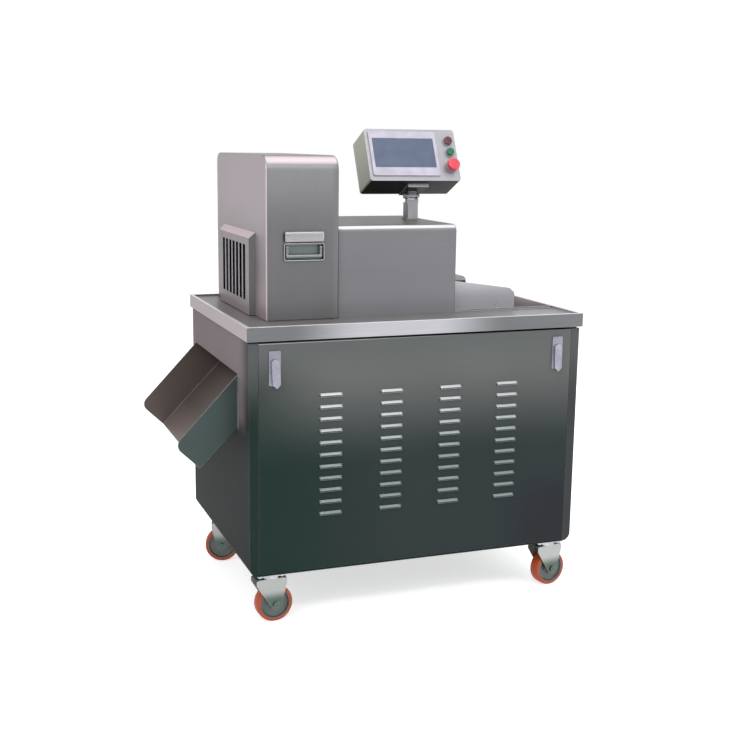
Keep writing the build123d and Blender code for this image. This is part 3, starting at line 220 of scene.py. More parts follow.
class Effects:
    """Node groups that more than one finish uses, each made once."""

    made: dict[str, bpy.types.NodeTree] = {}

    @classmethod
    def start(cls, name: str, inputs: Sequence[tuple[str, str]],
              outputs: Sequence[tuple[str, str]]) -> tuple[Tree, bpy.types.Node, bpy.types.Node]:
        """Open a new group.

        Args:
            name: The group's name.
            inputs: Name and socket type of each input.
            outputs: Name and socket type of each output.

        Returns:
            The tree helper, the node of the inputs and the node of the outputs.
        """
        group = bpy.data.node_groups.new(name, "ShaderNodeTree")
        for label, kind in inputs:
            group.interface.new_socket(name=label, in_out="INPUT", socket_type=kind)
        for label, kind in outputs:
            group.interface.new_socket(name=label, in_out="OUTPUT", socket_type=kind)
        cls.made[name] = group
        tree = Tree(group)
        return tree, tree.add("NodeGroupInput"), tree.add("NodeGroupOutput")

    @classmethod
    def grain(cls) -> bpy.types.NodeTree:
        """Give the group of a brushed sheet's fine streaks.

        Returns:
            The group, whose output goes from 0 to 1.
        """
        if "brushed_grain" in cls.made:
            return cls.made["brushed_grain"]
        inputs = (("Scale", "NodeSocketVector"),)
        tree, source, result = cls.start("brushed_grain", inputs, (("Streaks", "NodeSocketFloat"),))
        place = tree.add("ShaderNodeTexCoord").outputs["Object"]
        spread = tree.add("ShaderNodeVectorMath", {0: place, 1: source.outputs["Scale"]},
                          operation="MULTIPLY")
        fine = tree.add("ShaderNodeTexNoise", {"Vector": spread.outputs[0], "Scale": 1.0, "Detail": 3.0})
        slow = tree.add("ShaderNodeVectorMath", {0: spread.outputs[0], 1: (0.2, 0.2, 0.2)},
                        operation="MULTIPLY")
        broad = tree.add("ShaderNodeTexNoise", {"Vector": slow.outputs[0], "Scale": 1.0, "Detail": 1.0})
        total = tree.add("ShaderNodeMath", {0: fine.outputs[0], 1: broad.outputs[0]}, operation="ADD")
        tree.link(tree.remap(total.outputs[0], 0.7, 1.3), result.inputs["Streaks"])
        return cls.made["brushed_grain"]

    @classmethod
    def clouds(cls) -> bpy.types.NodeTree:
        """Give the group of slow changes of tone over a large surface.

        Returns:
            The group, whose output goes from 0 to 1.
        """
        if "soft_clouds" in cls.made:
            return cls.made["soft_clouds"]
        inputs = (("Scale", "NodeSocketFloat"),)
        tree, source, result = cls.start("soft_clouds", inputs, (("Mask", "NodeSocketFloat"),))
        noise = tree.speckle(source.outputs["Scale"])
        tree.link(tree.remap(noise, 0.35, 0.65), result.inputs["Mask"])
        return cls.made["soft_clouds"]

    @classmethod
    def reach(cls, name: str, measure: str) -> bpy.types.NodeTree:
        """Give the group that measures how far a place or a face lies along a direction.

        Args:
            name: The group's name.
            measure: Texture coordinate that is measured.

        Returns:
            The group, whose output goes from 0 at Low to 1 at High.
        """
        if name in cls.made:
            return cls.made[name]
        inputs = (("Direction", "NodeSocketVector"), ("Low", "NodeSocketFloat"),
                  ("High", "NodeSocketFloat"))
        tree, source, result = cls.start(name, inputs, (("Mask", "NodeSocketFloat"),))
        value = tree.add("ShaderNodeTexCoord").outputs[measure]
        along = tree.add("ShaderNodeVectorMath", {0: value, 1: source.outputs["Direction"]},
                         operation="DOT_PRODUCT")
        sockets = {"Value": along.outputs["Value"], "From Min": source.outputs["Low"],
                   "From Max": source.outputs["High"]}
        mask = tree.add("ShaderNodeMapRange", sockets, interpolation_type="SMOOTHSTEP")
        tree.link(mask.outputs[0], result.inputs["Mask"])
        return cls.made[name]

    @classmethod
    def along(cls) -> bpy.types.NodeTree:
        """Give the group that measures how far a place lies along a direction."""
        return cls.reach("tone_along", "Object")

    @classmethod
    def facing(cls) -> bpy.types.NodeTree:
        """Give the group that measures how much a face looks along a direction, which lays painted light and
        shade by the side that a face looks to.
        """
        return cls.reach("tone_facing", "Normal")

    @classmethod
    def edges(cls) -> bpy.types.NodeTree:
        """Give the group of the narrow band along sharp edges, where metal finishes lay a painted sheen and
        plastics a scuffed wear.

        Returns:
            The group, whose output is 1 on an edge and 0 away from it.
        """
        if "edge_wear_and_sheen" in cls.made:
            return cls.made["edge_wear_and_sheen"]
        inputs = (("Width", "NodeSocketFloat"),)
        tree, source, result = cls.start("edge_wear_and_sheen", inputs, (("Mask", "NodeSocketFloat"),))
        rounded = tree.add("ShaderNodeBevel", {"Radius": source.outputs["Width"]}, samples=3)
        flat = tree.add("ShaderNodeNewGeometry").outputs["Normal"]
        turn = tree.add("ShaderNodeVectorMath", {0: rounded.outputs[0], 1: flat}, operation="DOT_PRODUCT")
        tree.link(tree.remap(turn.outputs["Value"], 0.99, 0.8), result.inputs["Mask"])
        return cls.made["edge_wear_and_sheen"]

    @classmethod
    def use(cls, tree: Tree, group: Callable[[], bpy.types.NodeTree],
            **values: object) -> bpy.types.NodeSocket:
        """Place a group in a material.

        Args:
            tree: The material's tree.
            group: The method that gives the group.
            values: Input values by name.

        Returns:
            The group's first output.
        """
        node = tree.add("ShaderNodeGroup", node_tree=group())
        for name, value in values.items():
            node.inputs[name].default_value = value
        return node.outputs[0]


def new_material(name: str) -> tuple[bpy.types.Material, Tree, bpy.types.Node]:
    """Make an empty material.

    Args:
        name: The finish's name.

    Returns:
        The material, its tree helper and its surface shader.
    """
    material = bpy.data.materials.new(name)
    material.use_nodes = True
    tree = Tree(material.node_tree)
    return material, tree, material.node_tree.nodes["Principled BSDF"]


@dataclass(frozen=True)
class Reach:
    """Where a tone lies: beyond a place along a direction, or on faces that look along it."""

    direction: Point
    low: float
    high: float
    facing: bool = False


@dataclass(frozen=True)
class Tone:
    """Another colour on part of a finish, where all of its reaches overlap."""

    colour: Colour
    reaches: tuple[Reach, ...]

    def lay(self, tree: Tree, base: object) -> bpy.types.NodeSocket:
        """Mix the tone over a colour.

        Args:
            tree: The material's tree.
            base: The colour below.

        Returns:
            The mixed colour's socket.
        """
        mask: object = 1.0
        for reach in self.reaches:
            group = Effects.facing if reach.facing else Effects.along
            part = Effects.use(tree, group, Direction=reach.direction, Low=reach.low, High=reach.high)
            mask = tree.add("ShaderNodeMath", {0: mask, 1: part}, operation="MULTIPLY").outputs[0]
        return tree.mix(mask, base, linear(self.colour))


def above(low: float, high: float) -> Reach:
    """Reach upwards, from one height to another in millimetres."""
    return Reach((0, 0, 1), low * MM, high * MM)


def below(high: float, low: float) -> Reach:
    """Reach downwards, from one height to another in millimetres."""
    return Reach((0, 0, -1), -high * MM, -low * MM)


def beyond_x(low: float, high: float) -> Reach:
    """Reach to the right, between two places on the table's ruler."""
    return Reach((1, 0, 0), (low - MIDDLE[0]) * MM, (high - MIDDLE[0]) * MM)


def short_of_x(high: float, low: float) -> Reach:
    """Reach to the left, between two places on the table's ruler."""
    return Reach((-1, 0, 0), (MIDDLE[0] - high) * MM, (MIDDLE[0] - low) * MM)


def beyond_y(low: float, high: float) -> Reach:
    """Reach to the back, between two distances from the table's front."""
    return Reach((0, 1, 0), (low - MIDDLE[1]) * MM, (high - MIDDLE[1]) * MM)


def short_of_y(high: float, low: float) -> Reach:
    """Reach to the front, between two distances from the table's front."""
    return Reach((0, -1, 0), (MIDDLE[1] - high) * MM, (MIDDLE[1] - low) * MM)


def looking(direction: Point, low: float = 0.35, high: float = 0.8) -> Reach:
    """Reach over faces that look along a direction, from a small share of it to a full one."""
    return Reach(direction, low, high, True)


LEFT = looking((-1, 0, 0))
RIGHT = looking((1, 0, 0))
FRONT = looking((0, -1, 0))
BACK = looking((0, 1, 0))
TOP = looking((0, 0, 1))
UNDER = looking((0, 0, -1))
# The bend between a hood's front and its top, and the edge between its front and its left side, which carry
# painted highlights
NOSE = looking((0, -0.66, 0.75), 0.9, 0.995)
CORNER = looking((-0.707, -0.707, 0), 0.88, 0.99)
# The standing lip of a louvre, which carries painted shade, the front plate of a fork, which carries a
# painted highlight, and the underside of the control box, which carries painted shade
LIP = looking((0, -1, 0), 0.94, 0.99)
FORK_FRONT = looking((0, -1, 0), 0.7, 0.98)
BOX_UNDER = looking((0, 0, -1), 0.6, 0.85)
# The inside of the handle pan, behind its rim, where painted shade lies
PAN_INSIDE = beyond_y(123.6, 124.4)


@dataclass(frozen=True)
class Satin:
    """Brushed stainless sheet with tones of painted light, shade and reflection that change with the side
    that it faces and with height, and a painted sheen along sharp edges.
    """

    name: str
    colour: Colour
    tones: tuple[Tone, ...] = ()
    grain: Grain = Grain.ALONG_X
    roughness: float = 0.4
    metallic: float = 0.75
    streak: float = 0.04
    # Share of the painted sheen along sharp edges
    edge: float = 0.5
    gloss: float = 0.25
    rim: float = 0.6

    def material(self) -> bpy.types.Material:
        """Build the finish.

        Returns:
            Its material.
        """
        material, tree, shader = new_material(self.name)
        streaks = Effects.use(tree, Effects.grain, Scale=self.grain.value)
        cloud = Effects.use(tree, Effects.clouds, Scale=3.5)
        edge = Effects.use(tree, Effects.edges, Width=0.0015)
        tone: object = linear(self.colour)
        for patch in self.tones:
            tone = patch.lay(tree, tone)
        dark = tree.mix(1.0, tone, (1 - self.streak, 1 - self.streak, 1 - self.streak, 1), "MULTIPLY")
        light = tree.mix(1.0, tone, (1 + self.streak, 1 + self.streak, 1 + self.streak, 1), "MULTIPLY")
        brushed = tree.mix(streaks, dark, light)
        hazy = tree.mix(cloud, brushed, tree.mix(1.0, brushed, (1.05, 1.045, 1.05, 1), "MULTIPLY"))
        # Painted sheen: sharp edges are lightened toward a pale metal colour
        shine = tree.add("ShaderNodeMath", {0: edge, 1: self.edge}, operation="MULTIPLY").outputs[0]
        tree.link(tree.mix(shine, hazy, linear(EDGE_SHEEN)), shader.inputs["Base Color"])
        rough = tree.remap(streaks, 0.0, 1.0, self.roughness - 0.015, self.roughness + 0.02)
        tree.link(rough, shader.inputs["Roughness"])
        shader.inputs["Metallic"].default_value = self.metallic
        shader.inputs["Specular IOR Level"].default_value = self.gloss
        shader.inputs["Specular Tint"].default_value = (self.rim, self.rim, self.rim, 1.0)
        sockets = {"Height": streaks, "Strength": 0.012, "Distance": 0.0002}
        tree.link(tree.add("ShaderNodeBump", sockets).outputs[0], shader.inputs["Normal"])
        return material


@dataclass(frozen=True)
class Cast:
    """Machined, plated or painted metal with a fine grain and a painted sheen along sharp edges."""

    name: str
    colour: Colour
    metallic: float = 1.0
    roughness: float = 0.3
    texture: float = 600.0
    bump: float = 0.06
    # Share of the painted sheen along sharp edges
    edge: float = 0.35

    def material(self) -> bpy.types.Material:
        """Build the finish.

        Returns:
            Its material.
        """
        material, tree, shader = new_material(self.name)
        cloud = Effects.use(tree, Effects.clouds, Scale=22.0)
        edge = Effects.use(tree, Effects.edges, Width=0.001)
        fine = tree.speckle(self.texture)
        base = linear(self.colour)
        tone = tree.mix(cloud, base, tree.mix(1.0, base, (0.8, 0.8, 0.82, 1), "MULTIPLY"))
        # Painted sheen: sharp edges are lightened
        shine = tree.add("ShaderNodeMath", {0: edge, 1: self.edge}, operation="MULTIPLY").outputs[0]
        bright = tree.mix(1.0, base, (0.25, 0.25, 0.25, 1), "ADD")
        tree.link(tree.mix(shine, tone, bright), shader.inputs["Base Color"])
        rough = tree.remap(fine, 0.3, 0.7, self.roughness - 0.04, self.roughness + 0.08)
        tree.link(rough, shader.inputs["Roughness"])
        shader.inputs["Metallic"].default_value = self.metallic
        sockets = {"Height": fine, "Strength": self.bump, "Distance": 0.0004}
        tree.link(tree.add("ShaderNodeBump", sockets).outputs[0], shader.inputs["Normal"])
        return material


@dataclass(frozen=True)
class Moulded:
    """Plastic, rubber or polyurethane with a light moulded texture."""

    name: str
    colour: Colour
    roughness: float = 0.4
    coat: float = 0.0
    texture: float = 900.0
    scuff: Colour = (90, 88, 84)

    def material(self) -> bpy.types.Material:
        """Build the finish.

        Returns:
            Its material.
        """
        material, tree, shader = new_material(self.name)
        cloud = Effects.use(tree, Effects.clouds, Scale=30.0)
        edge = Effects.use(tree, Effects.edges, Width=0.0008)
        fine = tree.speckle(self.texture)
        base = linear(self.colour)
        tone = tree.mix(cloud, base, tree.mix(1.0, base, (0.86, 0.86, 0.86, 1), "MULTIPLY"))
        worn = tree.add("ShaderNodeMath", {0: edge, 1: 0.18}, operation="MULTIPLY").outputs[0]
        tree.link(tree.mix(worn, tone, linear(self.scuff)), shader.inputs["Base Color"])
        rough = tree.remap(fine, 0.3, 0.7, self.roughness - 0.03, self.roughness + 0.08)
        tree.link(rough, shader.inputs["Roughness"])
        shader.inputs["Coat Weight"].default_value = self.coat
        sockets = {"Height": fine, "Strength": 0.08, "Distance": 0.0003}
        tree.link(tree.add("ShaderNodeBump", sockets).outputs[0], shader.inputs["Normal"])
        return material


# Painted light and reflection: lighter upper part, right end of the front, left side and top, with painted
# highlights along the front bend and the front-left corner
COVER = Satin("satin_cover", (104, 104, 105), (
    Tone((126, 126, 128), (above(1060, 1240),)),
    Tone((112, 112, 113), (beyond_x(270, 294), FRONT)),
    Tone((160, 150, 154), (LEFT, above(850, 1180))),
    Tone((150, 136, 138), (LEFT, below(1010, 850))),
    Tone((126, 123, 112), (TOP,)),
    Tone((178, 166, 171), (NOSE,)),
    Tone((186, 172, 176), (CORNER,)),
), Grain.ALONG_Z, roughness=0.36, metallic=0.35, streak=0.02)
# Painted light and shade: lighter left face, lighter still low on it, a bright top slope and a darker front
VENT = Satin("satin_vent_hood", (120, 114, 116), (
    Tone((134, 128, 131), (LEFT,)),
    Tone((150, 137, 138), (LEFT, below(870, 850))),
    Tone((205, 186, 192), (TOP,)),
    Tone((96, 94, 94), (FRONT,)),
), Grain.ALONG_Z, roughness=0.36, metallic=0.4, streak=0.02)
# Painted light and reflection: lighter lower part, darker top and right side, and a painted highlight along
# the front bend
FEED_COVER = Satin("satin_feed_cover", (114, 114, 117), (
    Tone((122, 122, 125), (below(960, 850),)),
    Tone((92, 92, 87), (TOP,)),
    Tone((88, 88, 90), (RIGHT,)),
    Tone((196, 192, 196), (NOSE,)),
), Grain.ALONG_X, roughness=0.36, metallic=0.35, streak=0.02)
# Painted light and reflection: darker front band with a painted highlight across its middle, lighter left
# end and right part of the top, and a painted highlight along the top rim edge
TABLE = Satin("satin_table", (140, 136, 136), (
    Tone((108, 110, 112), (FRONT,)),
    Tone((176, 176, 180), (FRONT, beyond_x(110, 330), short_of_x(760, 520))),
    Tone((164, 152, 153), (LEFT,)),
    Tone((156, 154, 156), (TOP, beyond_x(640, 800))),
    Tone((228, 226, 230), (above(828.0, 829.0), TOP)),
), Grain.ALONG_X, roughness=0.32, metallic=0.5, streak=0.03, edge=0.6)
# Painted reflection: darker towards the left, darker and greyer low on the right, lighter upper part, and a
# painted highlight along the top edge
PANEL = Satin("satin_panel", (46, 53, 53), (
    Tone((34, 49, 45), (short_of_x(420, 80),)),
    Tone((44, 46, 48), (beyond_x(700, 900), below(420, 250))),
    Tone((98, 99, 98), (above(430, 740), beyond_x(-120, 260))),
    Tone((92, 95, 94), (above(660, 770),)),
    Tone((146, 150, 148), (above(781.5, 783.0), short_of_x(700, 200))),
), Grain.ALONG_X, roughness=0.42, metallic=0.4, streak=0.02, edge=0.15, gloss=0.06, rim=0.2)
# Painted light and shade: the sloped hood face is light, lighter still in the upper rows, and the standing
# lip, left ends and undersides are painted shade
LOUVRE = Satin("satin_louvre", (116, 126, 123), (
    Tone((172, 175, 176), (above(400, 640),)),
    Tone((50, 58, 56), (LIP,)),
    Tone((70, 78, 76), (LEFT,)),
    Tone((20, 24, 23), (UNDER,)),
), Grain.ALONG_X, roughness=0.36, metallic=0.4, streak=0.02, edge=0.4)
# Painted light, shade and reflection: darker left side and left part of the front, lighter right end and
# upper part of the front, lighter upper left side with a painted reflection patch near its front, and
# lighter right and back
SHELL = Satin("satin_shell", (46, 53, 51), (
    Tone((24, 31, 29), (LEFT,)),
    Tone((36, 48, 45), (FRONT, short_of_x(420, 60))),
    Tone((62, 64, 64), (FRONT, beyond_x(900, 960))),
    Tone((82, 85, 84), (above(560, 760), FRONT)),
    Tone((66, 68, 67), (LEFT, above(500, 700))),
    Tone((118, 109, 110), (LEFT, above(520, 580), beyond_y(10, 110))),
    Tone((84, 88, 87), (RIGHT,)),
    Tone((108, 111, 110), (BACK,)),
), Grain.ALONG_Z, roughness=0.46, metallic=0.12, streak=0.02, edge=0.2, gloss=0.02, rim=0.05)
# Painted light and reflection: darker upper part, lighter up-facing faces low down, and a darker green front
# face on the front cheek
CHUTE = Satin("satin_chute", (96, 87, 83), (
    Tone((78, 69, 66), (above(600, 740),)),
    Tone((122, 111, 107), (TOP, below(520, 440))),
    Tone((64, 76, 74), (FRONT, short_of_y(250, 150))),
), Grain.ALONG_X, roughness=0.38, metallic=0.4, streak=0.02, edge=0.9)
INNER = Satin("satin_inner", (142, 142, 143), (Tone((116, 118, 118), (below(700, 300),)),),
              Grain.ALONG_X, roughness=0.36)
# Painted light: the upper part of the front face is lighter
FEED_PLATE = Satin("satin_feed_plate", (150, 150, 153), (Tone((184, 184, 187), (above(860, 930), FRONT)),),
                   Grain.ALONG_X, roughness=0.34, metallic=0.5, streak=0.02)
# Painted shade: the inside of the pan is darker, darkest on faces that look down, and faces that look left
# are dark
HANDLE = Satin("satin_handle", (156, 156, 159), (
    Tone((106, 114, 111), (PAN_INSIDE,)),
    Tone((58, 66, 64), (PAN_INSIDE, UNDER)),
    Tone((46, 50, 50), (LEFT,)),
), Grain.ALONG_X, roughness=0.28, metallic=0.5, streak=0.02, edge=0.7)
# Painted light: faces that look up are lighter
BAIL = Satin("satin_bail", (118, 124, 122), (Tone((150, 156, 154), (TOP,)),),
             Grain.ALONG_X, roughness=0.3, metallic=0.6, streak=0.02)
FRAME = Cast("welded_tube", (112, 114, 114), metallic=0.9, roughness=0.45)
PLATED = Cast("zinc_plate", (176, 178, 180), metallic=1.0, roughness=0.28, texture=300.0)
LATCH = Cast("latch_zinc", (142, 141, 152), metallic=0.6, roughness=0.3, texture=900.0, bump=0.02, edge=0.6)
LEVER = Cast("lever_zinc", (158, 158, 170), metallic=0.6, roughness=0.26, texture=900.0, bump=0.02, edge=0.6)
# Painted highlight on the upper front plate, and painted shade on the left and right flanks
FORK = Satin("caster_fork_zinc", (84, 98, 90), (
    Tone((160, 161, 160), (above(66, 96), FORK_FRONT)),
    Tone((48, 60, 55), (LEFT,)),
    Tone((58, 68, 50), (RIGHT,)),
), Grain.ROUND, roughness=0.3, metallic=0.7, streak=0.02, edge=0.5)
TURNED = Cast("turned_steel", (160, 161, 163), metallic=1.0, roughness=0.25, texture=400.0)
GROUND = Cast("ground_knife_steel", (186, 188, 190), metallic=1.0, roughness=0.18, texture=500.0, bump=0.04)
IRON = Cast("dark_iron", (58, 58, 60), metallic=0.7, roughness=0.5, texture=250.0, bump=0.3)
CHAIN = Cast("oiled_chain", (70, 66, 62), metallic=0.9, roughness=0.42, texture=250.0, bump=0.2)
MOTOR = Cast("motor_paint", (92, 98, 104), metallic=0.0, roughness=0.42, texture=350.0, bump=0.15)
BOX_PAINT = Cast("box_paint", (186, 188, 186), metallic=0.0, roughness=0.45, texture=500.0, bump=0.25)
# Painted light and shade: a slightly changed front, lighter left side and top, and dark painted shade on the
# underside
SCREEN_BOX = Satin("satin_screen_box", (150, 150, 151), (
    Tone((154, 155, 159), (FRONT,)),
    Tone((174, 176, 162), (LEFT,)),
    Tone((180, 180, 183), (TOP,)),
    Tone((44, 44, 46), (BOX_UNDER,)),
), Grain.ALONG_X, roughness=0.34, metallic=0.5, streak=0.02, edge=0.7)
POST = Satin("satin_post", (140, 140, 143), (), Grain.ALONG_Z, roughness=0.34, metallic=0.6, streak=0.02)
BELT = Moulded("white_belt", (224, 226, 222), roughness=0.5)
WHITE = Moulded("white_food_plastic", (222, 222, 216), roughness=0.4)
DRIVE_BELT = Moulded("black_rubber", (26, 26, 27), roughness=0.6)
BLACK = Moulded("black_plastic", (32, 32, 33), roughness=0.42)
YELLOW = Moulded("yellow_plastic", (206, 168, 34), roughness=0.4)
RED_KNOB = Moulded("red_knob", (160, 28, 24), roughness=0.36)
BEZEL = Moulded("bezel_plastic", (176, 171, 184), roughness=0.4)
DISPLAY = Moulded("display_window", (76, 87, 110), roughness=0.25, coat=0.3, texture=1500.0)
RING = Moulded("button_ring", (150, 152, 154), roughness=0.35)
LAMP = Moulded("lamp_lens", (82, 28, 40), roughness=0.2, coat=0.5, texture=1500.0)
GREEN = Moulded("start_green", (16, 90, 58), roughness=0.28, coat=0.3)
RED = Moulded("stop_red", (204, 54, 72), roughness=0.3, coat=0.3)
TYRE = Moulded("orange_tyre", (164, 64, 12), roughness=0.5)
CORE = Cast("wheel_core", (92, 96, 93), metallic=0.5, roughness=0.4, texture=600.0, bump=0.06)
# Painted highlight on the upper right face, and painted light on the top
GUARD = Satin("satin_guard", (140, 141, 142), (
    Tone((176, 176, 178), (above(900, 926), RIGHT)),
    Tone((150, 150, 151), (TOP,)),
), Grain.ALONG_Y, roughness=0.3, metallic=0.6)


Finish = Satin | Cast | Moulded


def into_scene(name: str, data: bpy.types.ID) -> bpy.types.Object:
    """Make an object and put it in the scene.

    Args:
        name: The object's name.
        data: Its mesh, lamp or camera.

    Returns:
        The object.
    """
    thing = bpy.data.objects.new(name, data)
    bpy.context.scene.collection.objects.link(thing)
    return thing


class Shop:
    """Hands out each finish's material, made once."""

    made: dict[str, bpy.types.Material] = {}

    @classmethod
    def get(cls, finish: Finish) -> bpy.types.Material:
        """Give a finish's material.

        Args:
            finish: The finish.

        Returns:
            Its material.
        """
        if finish.name not in cls.made:
            cls.made[finish.name] = finish.material()
        return cls.made[finish.name]


class Form:
    """A shape under way, made with bmesh operators, in millimetres on the table's rulers."""

    def __init__(self) -> None:
        """Start empty."""
        self.bm = bmesh.new()

    def block(self, low: Point, high: Point) -> None:
        """Add a block between two corners.

        Args:
            low: Lowest corner.
            high: Highest corner.
        """
        middle = (Vector(low) + Vector(high)) / 2
        size = Vector(high) - Vector(low)
        place = Matrix.Translation(middle) @ Matrix.Diagonal((*size, 1.0))
        bmesh.ops.create_cube(self.bm, size=1.0, matrix=place)

    def turned(self, start: Point, axis: Point, profile: Sequence[tuple[float, float]],
               sides: int = 48) -> None:
        """Add a turned piece.

        Args:
            start: Where its axis starts.
            axis: Direction of its axis.
            profile: Distance along the axis and radius of each point of its outline.
            sides: Steps of the full turn.
        """
        along = Vector(axis).normalized()
        side = along.orthogonal().normalized()
        verts = [self.bm.verts.new(Vector(start) + along * d + side * r) for d, r in profile]
        edges = [self.bm.edges.new(pair) for pair in zip(verts, verts[1:])]
        bmesh.ops.spin(self.bm, geom=verts + edges, cent=Vector(start), axis=along, dvec=(0, 0, 0),
                       angle=math.tau, steps=sides, use_merge=True, use_duplicate=False)
        bmesh.ops.remove_doubles(self.bm, verts=self.bm.verts[:], dist=TOUCH)

    def bevel(self, edges: Iterable[bmesh.types.BMEdge], width: float, segments: int = 3) -> None:
        """Round some edges.

        Args:
            edges: The edges.
            width: How far the rounding reaches.
            segments: Steps of the rounding.
        """
        bmesh.ops.bevel(self.bm, geom=list(edges), offset=width, offset_type="OFFSET", segments=segments,
                        profile=0.5, affect="EDGES", clamp_overlap=True, material=-1)

    def edges_where(self, test: Callable[[Vector, Vector], bool]) -> list[bmesh.types.BMEdge]:
        """Find edges by their middle and direction.

        Args:
            test: Given an edge's middle and unit direction, tells whether it counts.

        Returns:
            The edges that count.
        """
        found = []
        for edge in self.bm.edges:
            a, b = (v.co for v in edge.verts)
            if test((a + b) / 2, (b - a).normalized()):
                found.append(edge)
        return found

    def faces_where(self, test: Callable[[Vector, Vector], bool]) -> list[bmesh.types.BMFace]:
        """Find faces by their middle and normal.

        Args:
            test: Given a face's middle and normal, tells whether it counts.

        Returns:
            The faces that count.
        """
        self.bm.normal_update()
        return [face for face in self.bm.faces if test(face.calc_center_median(), face.normal)]

    def remove(self, faces: Sequence[bmesh.types.BMFace]) -> None:
        """Take faces away."""
        bmesh.ops.delete(self.bm, geom=list(faces), context="FACES")

    def window(self, axis: int, place: float, u: tuple[float, float], v: tuple[float, float]) -> None:
        """Cut a rectangular opening in a flat side.

        Args:
            axis: 0, 1 or 2 for a side square to X, Y or Z.
            place: Where the side is along that axis.
            u: Ends of the opening along the next axis that isn't the side's.
            v: Ends of the opening along the last axis.
        """
        others = [n for n in range(3) if n != axis]
        for direction, ends in zip(others, (u, v)):
            for end in ends:
                flat = self.faces_where(lambda c, n: abs(c[axis] - place) < 0.01 and abs(n[axis]) > 0.99)
                near = {e for f in flat for e in f.edges} | {w for f in flat for w in f.verts}
                normal, spot = [0.0, 0.0, 0.0], [0.0, 0.0, 0.0]
                normal[direction], spot[direction] = 1.0, end
                bmesh.ops.bisect_plane(self.bm, geom=flat + list(near), plane_co=spot, plane_no=normal,
                                       dist=TOUCH)
        inside = self.faces_where(
            lambda c, n: abs(c[axis] - place) < 0.01 and abs(n[axis]) > 0.99
            and u[0] < c[others[0]] < u[1] and v[0] < c[others[1]] < v[1])
        self.remove(inside)

    def mesh(self, name: str, scale: bool = True) -> bpy.types.Mesh:
        """Turn the shape into a mesh in metres.

        Args:
            name: The mesh's name.
            scale: Whether the shape is in millimetres on the table's rulers.

        Returns:
            The mesh.
        """
        if scale:
            for vert in self.bm.verts:
                vert.co = at(*vert.co)
        bmesh.ops.recalc_face_normals(self.bm, faces=self.bm.faces)
        mesh = bpy.data.meshes.new(name)
        self.bm.to_mesh(mesh)
        self.bm.free()
        return mesh


class Machine:
    """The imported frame, and the ways in which a piece joins it."""

    def __init__(self, frame: dict) -> None:
        """Keep the frame."""
        self.frame = frame
        self.body = {n: b for b, nodes in frame["record"]["behaviour"]["bodies"].items() for n in nodes}

    def smooth(self, piece: bpy.types.Object, angle: float = CREASE) -> None:
        """Shade a piece smoothly except over sharp edges.

        Args:
            piece: The piece.
            angle: Edges sharper than this many degrees stay sharp.
        """
        piece.data.polygons.foreach_set("use_smooth", [True] * len(piece.data.polygons))
        piece.data.set_sharp_from_angle(angle=math.radians(angle))

    def coat(self, piece: bpy.types.Object, finish: Finish) -> None:
        """Give a piece one material."""
        piece.data.materials.clear()
        piece.data.materials.append(Shop.get(finish))

    def place(self, piece: bpy.types.Object, node: str, finish: Finish,
              stands_for: Sequence[str] = ()) -> None:
        """Give a piece its finish and the body of the node that it belongs to.

        Args:
            piece: The piece.
            node: Node whose body it takes.
            finish: Its finish.
            stands_for: Nodes that it replaces.
        """
        self.coat(piece, finish)
        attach(piece, self.body[node])
        if stands_for:
            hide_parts(*stands_for)
        log.info("made %s for %s", piece.name, node)

    def add(self, name: str, form: Form, node: str, finish: Finish, stands_for: Sequence[str] = (),
            angle: float = CREASE) -> bpy.types.Object:
        """Make a piece from a finished shape.

        Args:
            name: The piece's name.
            form: Its shape.
            node: Node whose body it takes.
            finish: Its finish.
            stands_for: Nodes that it replaces.
            angle: Edges sharper than this many degrees stay sharp.

        Returns:
            The piece.
        """
        piece = into_scene(name, form.mesh(name))
        self.smooth(piece, angle)
        self.place(piece, node, finish, stands_for)
        return piece

    def wall(self, piece: bpy.types.Object, thickness: float) -> None:
        """Give a shell its sheet thickness inwards, and keep its level faces level in the light.

        Args:
            piece: The shell.
            thickness: Thickness in millimetres.
        """
        sheet = piece.modifiers.new("sheet", "SOLIDIFY")
        sheet.thickness = thickness * MM
        sheet.offset = -1.0
        level = piece.modifiers.new("level_faces", "WEIGHTED_NORMAL")
        level.keep_sharp = True
        level.weight = 100

    def soften(self, node: str, finish: Finish, width: float = 0.6, segments: int = 2,
               merge_flats: bool = True) -> bpy.types.Object:
        """Replace a node by a copy of itself with rounded edges.

        Args:
            node: The node.
            finish: The copy's finish.
            width: Reach of the rounding in millimetres.
            segments: Steps of the rounding.
            merge_flats: Whether level faces are joined first, which a sheet with openings can't have.

        Returns:
            The copy.
        """
        bm = bmesh.new()
        bm.from_mesh(self.frame["nodes"][node].data)
        bmesh.ops.remove_doubles(bm, verts=bm.verts, dist=WELD)
        if merge_flats:
            bmesh.ops.dissolve_limit(bm, angle_limit=math.radians(0.6), verts=bm.verts, edges=bm.edges)
        mesh = bpy.data.meshes.new(node + "_sheet")
        bm.to_mesh(mesh)
        bm.free()
        piece = into_scene(node + "_sheet", mesh)
        self.smooth(piece)
        rounding = piece.modifiers.new("rounded_edges", "BEVEL")
        rounding.width = width * MM
        rounding.segments = segments
        rounding.limit_method = "ANGLE"
        rounding.angle_limit = math.radians(CREASE)
        rounding.harden_normals = True
        self.place(piece, node, finish, (node,))
        return piece

    def finish_node(self, node: str, finish: Finish) -> None:
        """Give a node that stays as it is its material.

        Args:
            node: The node.
            finish: Its finish.
        """
        self.coat(self.frame["nodes"][node], finish)
        log.info("finished %s", node)


